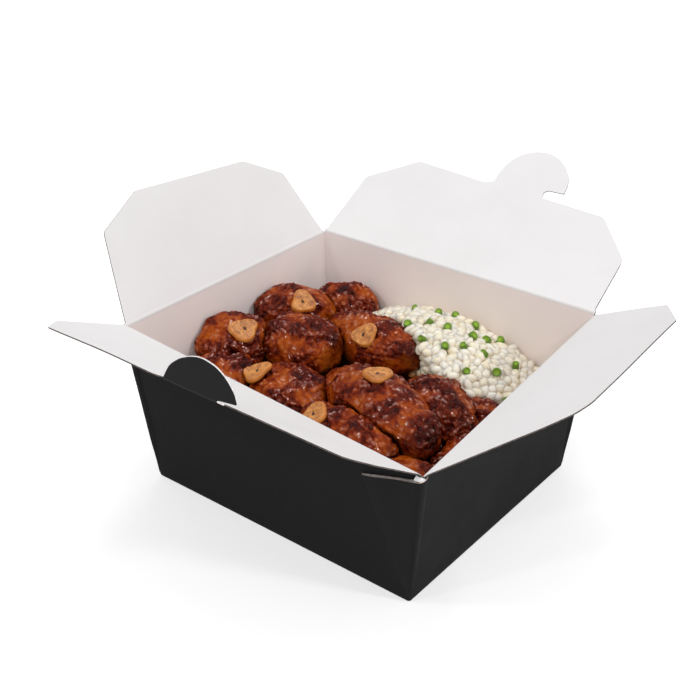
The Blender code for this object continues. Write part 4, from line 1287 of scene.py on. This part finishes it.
def layGrains():
    # places, turns and sizes of the grains, each lying along the heap's slope;
    # layers on a jittered hexagonal grid over the heap, and one down its front face
    rng = np.random.default_rng(rice["seed"])
    half, pitch = np.array(rice["half"]), rice["pitch"]
    rows, columns = np.meshgrid(np.arange(26), np.arange(38), indexing="ij")
    laid = []
    for number, lift in enumerate(rice["layers"]):
        x = riceLine["start"][0] + 1.0 + (columns + 0.5 * (rows % 2) + 0.5 * number) * pitch
        y = -4.0 + rows * pitch * 0.88 + number * pitch * 0.5
        spot = np.stack([x.ravel(), y.ravel()], -1) + rng.uniform(-rice["jitter"], rice["jitter"], (x.size, 2))
        z = heapHeight(*spot.T) + lift + rng.normal(0, rice["unevenness"], len(spot))
        laid.append(np.column_stack([spot, z]))
    x, z = np.meshgrid(np.arange(-36.0, 60.0, pitch * 0.95), np.arange(33.5, 49.0, pitch * 0.8), indexing="ij")
    face = np.column_stack([x.ravel(), frontLine(x.ravel()) + 1.0, z.ravel()])
    face = face + rng.uniform(-0.6, 0.6, (x.size, 3))
    laid.append(face[face[:, 2] < heapHeight(face[:, 0], face[:, 1]) - 0.4])
    places = np.concatenate(laid)
    count = len(places)
    yaw = rng.uniform(0, math.pi, count)
    pitchTurn, roll = rng.normal(0, rice["tilt"], count), rng.uniform(0, 3.0, count)
    sizes = half * rng.uniform(0.86, 1.14, (count, 3))
    step = 0.5
    x, y = places[:, 0], places[:, 1]
    slopeX = (heapHeight(x + step, y) - heapHeight(x - step, y)) / (2 * step)
    slopeY = (heapHeight(x, y + step) - heapHeight(x, y - step)) / (2 * step)
    pitchTurn = pitchTurn - np.arctan(slopeX * np.cos(yaw) + slopeY * np.sin(yaw))
    ends = places + np.array([-1, 0, 1])[:, None, None] * np.stack([np.cos(yaw), np.sin(yaw), 0 * yaw], -1) \
        * (half[0] - half[1])
    spare = clearOfPieces(ends.reshape(-1, 3)).reshape(3, count).min(axis=0)
    green = np.hypot(x[:, None] - np.array(greens)[:, 0], y[:, None] - np.array(greens)[:, 1]).min(axis=1)
    uncovered = (green > rice["greenRoom"]) | (places[:, 2] < heapHeight(x, y) - 1.0)
    keep = (y > frontLine(x) + 0.6) & (spare > rice["clear"]) & uncovered
    turns = np.array([turned(*each) for each in zip(yaw[keep], pitchTurn[keep], roll[keep])])
    return places[keep], turns, sizes[keep]


def makeGrains(material):
    places, turns, sizes = layGrains()
    points, quads, triangles = repeated(ballGrid(rice["segments"], rice["rings"]), places, turns, sizes)
    grains = putMesh("rice_grains", points, [quads, triangles], [material])
    addAttribute(grains, "stain", stainOf(points))
    # how far down between the grains, for the painted warm shade
    addAttribute(grains, "painted_gap_shade", np.clip((heapHeight(*points[:, :2].T) + 0.5 - points[:, 2]) / 1.7, 0, 1))
    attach(grains, "box")
    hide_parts("rice")
    print("rice grains:", len(places), "faces:", len(quads) + len(triangles))


def greenMaterial():
    made, tree, shader = newMaterial("chopped_greens")
    # ring: 0 in the light middle of the top, 1 at the darker green rim, which the stalk has, and over the whole
    # underside, where the darkest colour is painted shade
    ring = attributeOf(tree, "ring")
    colour = tones(tree, ring, ((0.0, (0.36, 0.52, 0.030)), (0.45, (0.22, 0.38, 0.010)),
                                (0.78, (0.13, 0.27, 0.005)), (1.0, (0.095, 0.21, 0.004))))
    setShader(tree, shader, Base_Color=colour, Roughness=0.42, Coat_Weight=0.1, Coat_Roughness=0.15,
              Subsurface_Weight=0.1, Subsurface_Scale=0.002)
    reliefOf(tree, shader, grain(tree, 1400.0, 3.0, 0.6), 0.0002, 0.5)
    return made


def makeGreens():
    # short cut stalks: a profile from the dished middle over the rounded rim, turned round
    segments = 20
    turn = np.linspace(0, 2 * math.pi, segments, endpoint=False)
    radius = np.array([0.12, 0.35, 0.6, 0.78, 0.92, 1.0, 1.0, 0.92, 0.6, 0.12])
    height = np.array([0.55, 0.58, 0.80, 0.98, 0.95, 0.75, -0.75, -0.95, -0.9, -0.9])
    ring = np.stack([radius[:, None] * np.cos(turn), radius[:, None] * np.sin(turn),
                     height[:, None] + 0 * turn], -1).reshape(-1, 3)
    quads = gridQuads(len(radius), segments, closed=True)[:, ::-1]
    first, last = np.arange(segments), (len(radius) - 1) * segments + np.arange(segments)
    points = np.concatenate([ring, [[0, 0, 0.52], [0, 0, -0.9]]])
    caps = np.concatenate([np.stack([first, np.roll(first, -1), np.full(segments, len(points) - 2)], -1),
                           np.stack([np.roll(last, -1), last, np.full(segments, len(points) - 1)], -1)])
    rng = np.random.default_rng(3)
    count = len(greens)
    xy = np.array(greens)
    places = np.column_stack([xy, heapHeight(xy[:, 0], xy[:, 1]) + 0.95])
    keep = clearOfPieces(places) > 1.9
    toView = math.radians(view["azimuth"] - 90.0)
    turns = np.array([turned(toView + rng.normal(0, 0.5), 0.55 + rng.normal(0, 0.35), rng.normal(0, 0.3))
                      for unused in range(count)])
    across = rng.uniform(1.25, 1.66, count)
    sizes = np.column_stack([across, across * rng.uniform(0.86, 1.05, count), rng.uniform(1.0, 1.5, count)])
    points, quads, caps = repeated((points, quads, caps), places[keep], turns[keep], sizes[keep])
    piece = putMesh("chopped_greens", points, [quads, caps], [greenMaterial()])
    # the colour darkens from the middle of the top out to the rim, as the stalk's own rings do; the whole
    # underside takes the darkest colour, painted shade
    shade = np.concatenate([np.repeat(radius, segments), [0.0, 0.0]])
    shade[len(radius) // 2 * segments:] = 1.0
    addAttribute(piece, "ring", np.tile(shade, keep.sum()))
    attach(piece, "box")
    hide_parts("rice")


# the rice under the grains, seen between them: coloured warmer and yellower than the grains as painted shade
makeRiceCore(riceMaterial("rice_core_painted_shade", (0.96, 0.83, 0.58), (0.90, 0.72, 0.44)))
makeGrains(riceMaterial("rice_white", (0.95, 0.865, 0.71), (0.93, 0.78, 0.55)))
makeGreens()
print("rice made")


# Floor, light and camera

studio = {
    "world": 0.47, "floor": (0.88, 0.88, 0.88), "floorGlow": 0.47,
    "lamps": (("overhead", (-0.14, 0.25, 1.20), (0, 0, 0.05), 0.60, 4.1),
              ("front_left", (-0.55, -0.85, 0.95), (0, 0, 0.04), 0.06, 1.5),
              ("front", (-0.20, -1.00, 0.80), (0, 0, 0.04), 0.06, 1.0),
              ("front_right", (0.30, -0.95, 1.00), (0, 0, 0.04), 0.06, 1.1),
              ("camera_side", (0.75, -0.75, 0.75), (0, 0, 0.04), 0.06, 1.5),
              ("side", (1.00, 0.10, 0.65), (0, 0, 0.04), 0.12, 2.6),
              ("back", (0.30, 0.85, 0.80), (0, 0, 0.04), 0.07, 1.2)),
}


def makeFloor():
    t = np.linspace(-3000.0, 3000.0, 5)
    x, y = np.meshgrid(t, t, indexing="ij")
    points = np.stack([x.ravel(), y.ravel(), np.zeros(x.size)], -1)
    made, tree, shader = newMaterial("pale_floor")
    setShader(tree, shader, Base_Color=(*studio["floor"], 1.0), Roughness=0.9, Specular_IOR_Level=0.05,
              Emission_Color=(1.0, 1.0, 1.0, 1.0), Emission_Strength=studio["floorGlow"])
    floor = putMesh("floor", points, [gridQuads(5, 5)], [made])
    floor.data.flip_normals()


def addLamp(name, place, target, size, power):
    light = bpy.data.lights.new(name, "AREA")
    light.size = size
    light.energy = power
    lamp = bpy.data.objects.new(name, light)
    lamp.matrix_world = aimed(np.array(place), np.array(place) - target)
    bpy.context.scene.collection.objects.link(lamp)


def aimed(place, back):
    # matrix of a lamp or camera at a place, looking against the direction back
    back = unit(back)
    right = unit(np.cross((0, 0, 1), back))
    matrix = np.eye(4)
    matrix[:3, 0], matrix[:3, 1], matrix[:3, 2], matrix[:3, 3] = right, np.cross(back, right), back, place
    return Matrix(matrix.tolist())


def addCamera():
    azimuth, elevation, roll = (math.radians(view[key]) for key in ("azimuth", "elevation", "roll"))
    back = np.array([math.sin(azimuth) * math.cos(elevation),
                     -math.cos(azimuth) * math.cos(elevation), math.sin(elevation)])
    level = np.array([math.cos(azimuth), math.sin(azimuth), 0.0])
    upward = np.cross(back, level)
    right = level * math.cos(roll) + upward * math.sin(roll)
    up = upward * math.cos(roll) - level * math.sin(roll)
    place = back * view["distance"] + right * view["right"] + up * view["up"]
    place[2] += view["aimHeight"]
    matrix = np.eye(4)
    matrix[:3, 0], matrix[:3, 1], matrix[:3, 2], matrix[:3, 3] = right, up, back, place * mm
    lens = bpy.data.cameras.new("camera")
    lens.lens, lens.sensor_width = view["lens"], view["sensor"]
    lens.clip_start = 0.01
    camera = bpy.data.objects.new("camera", lens)
    camera.matrix_world = Matrix(matrix.tolist())
    bpy.context.scene.collection.objects.link(camera)
    bpy.context.scene.camera = camera


def lightWorld():
    world = bpy.data.worlds.new("studio")
    world.use_nodes = True
    background = world.node_tree.nodes["Background"]
    background.inputs["Color"].default_value = (1.0, 1.0, 1.0, 1.0)
    background.inputs["Strength"].default_value = studio["world"]
    bpy.context.scene.world = world


makeFloor()
for lampSpec in studio["lamps"]:
    addLamp(*lampSpec)
lightWorld()
addCamera()
bpy.context.scene.view_settings.view_transform = "Standard"
print("studio made")
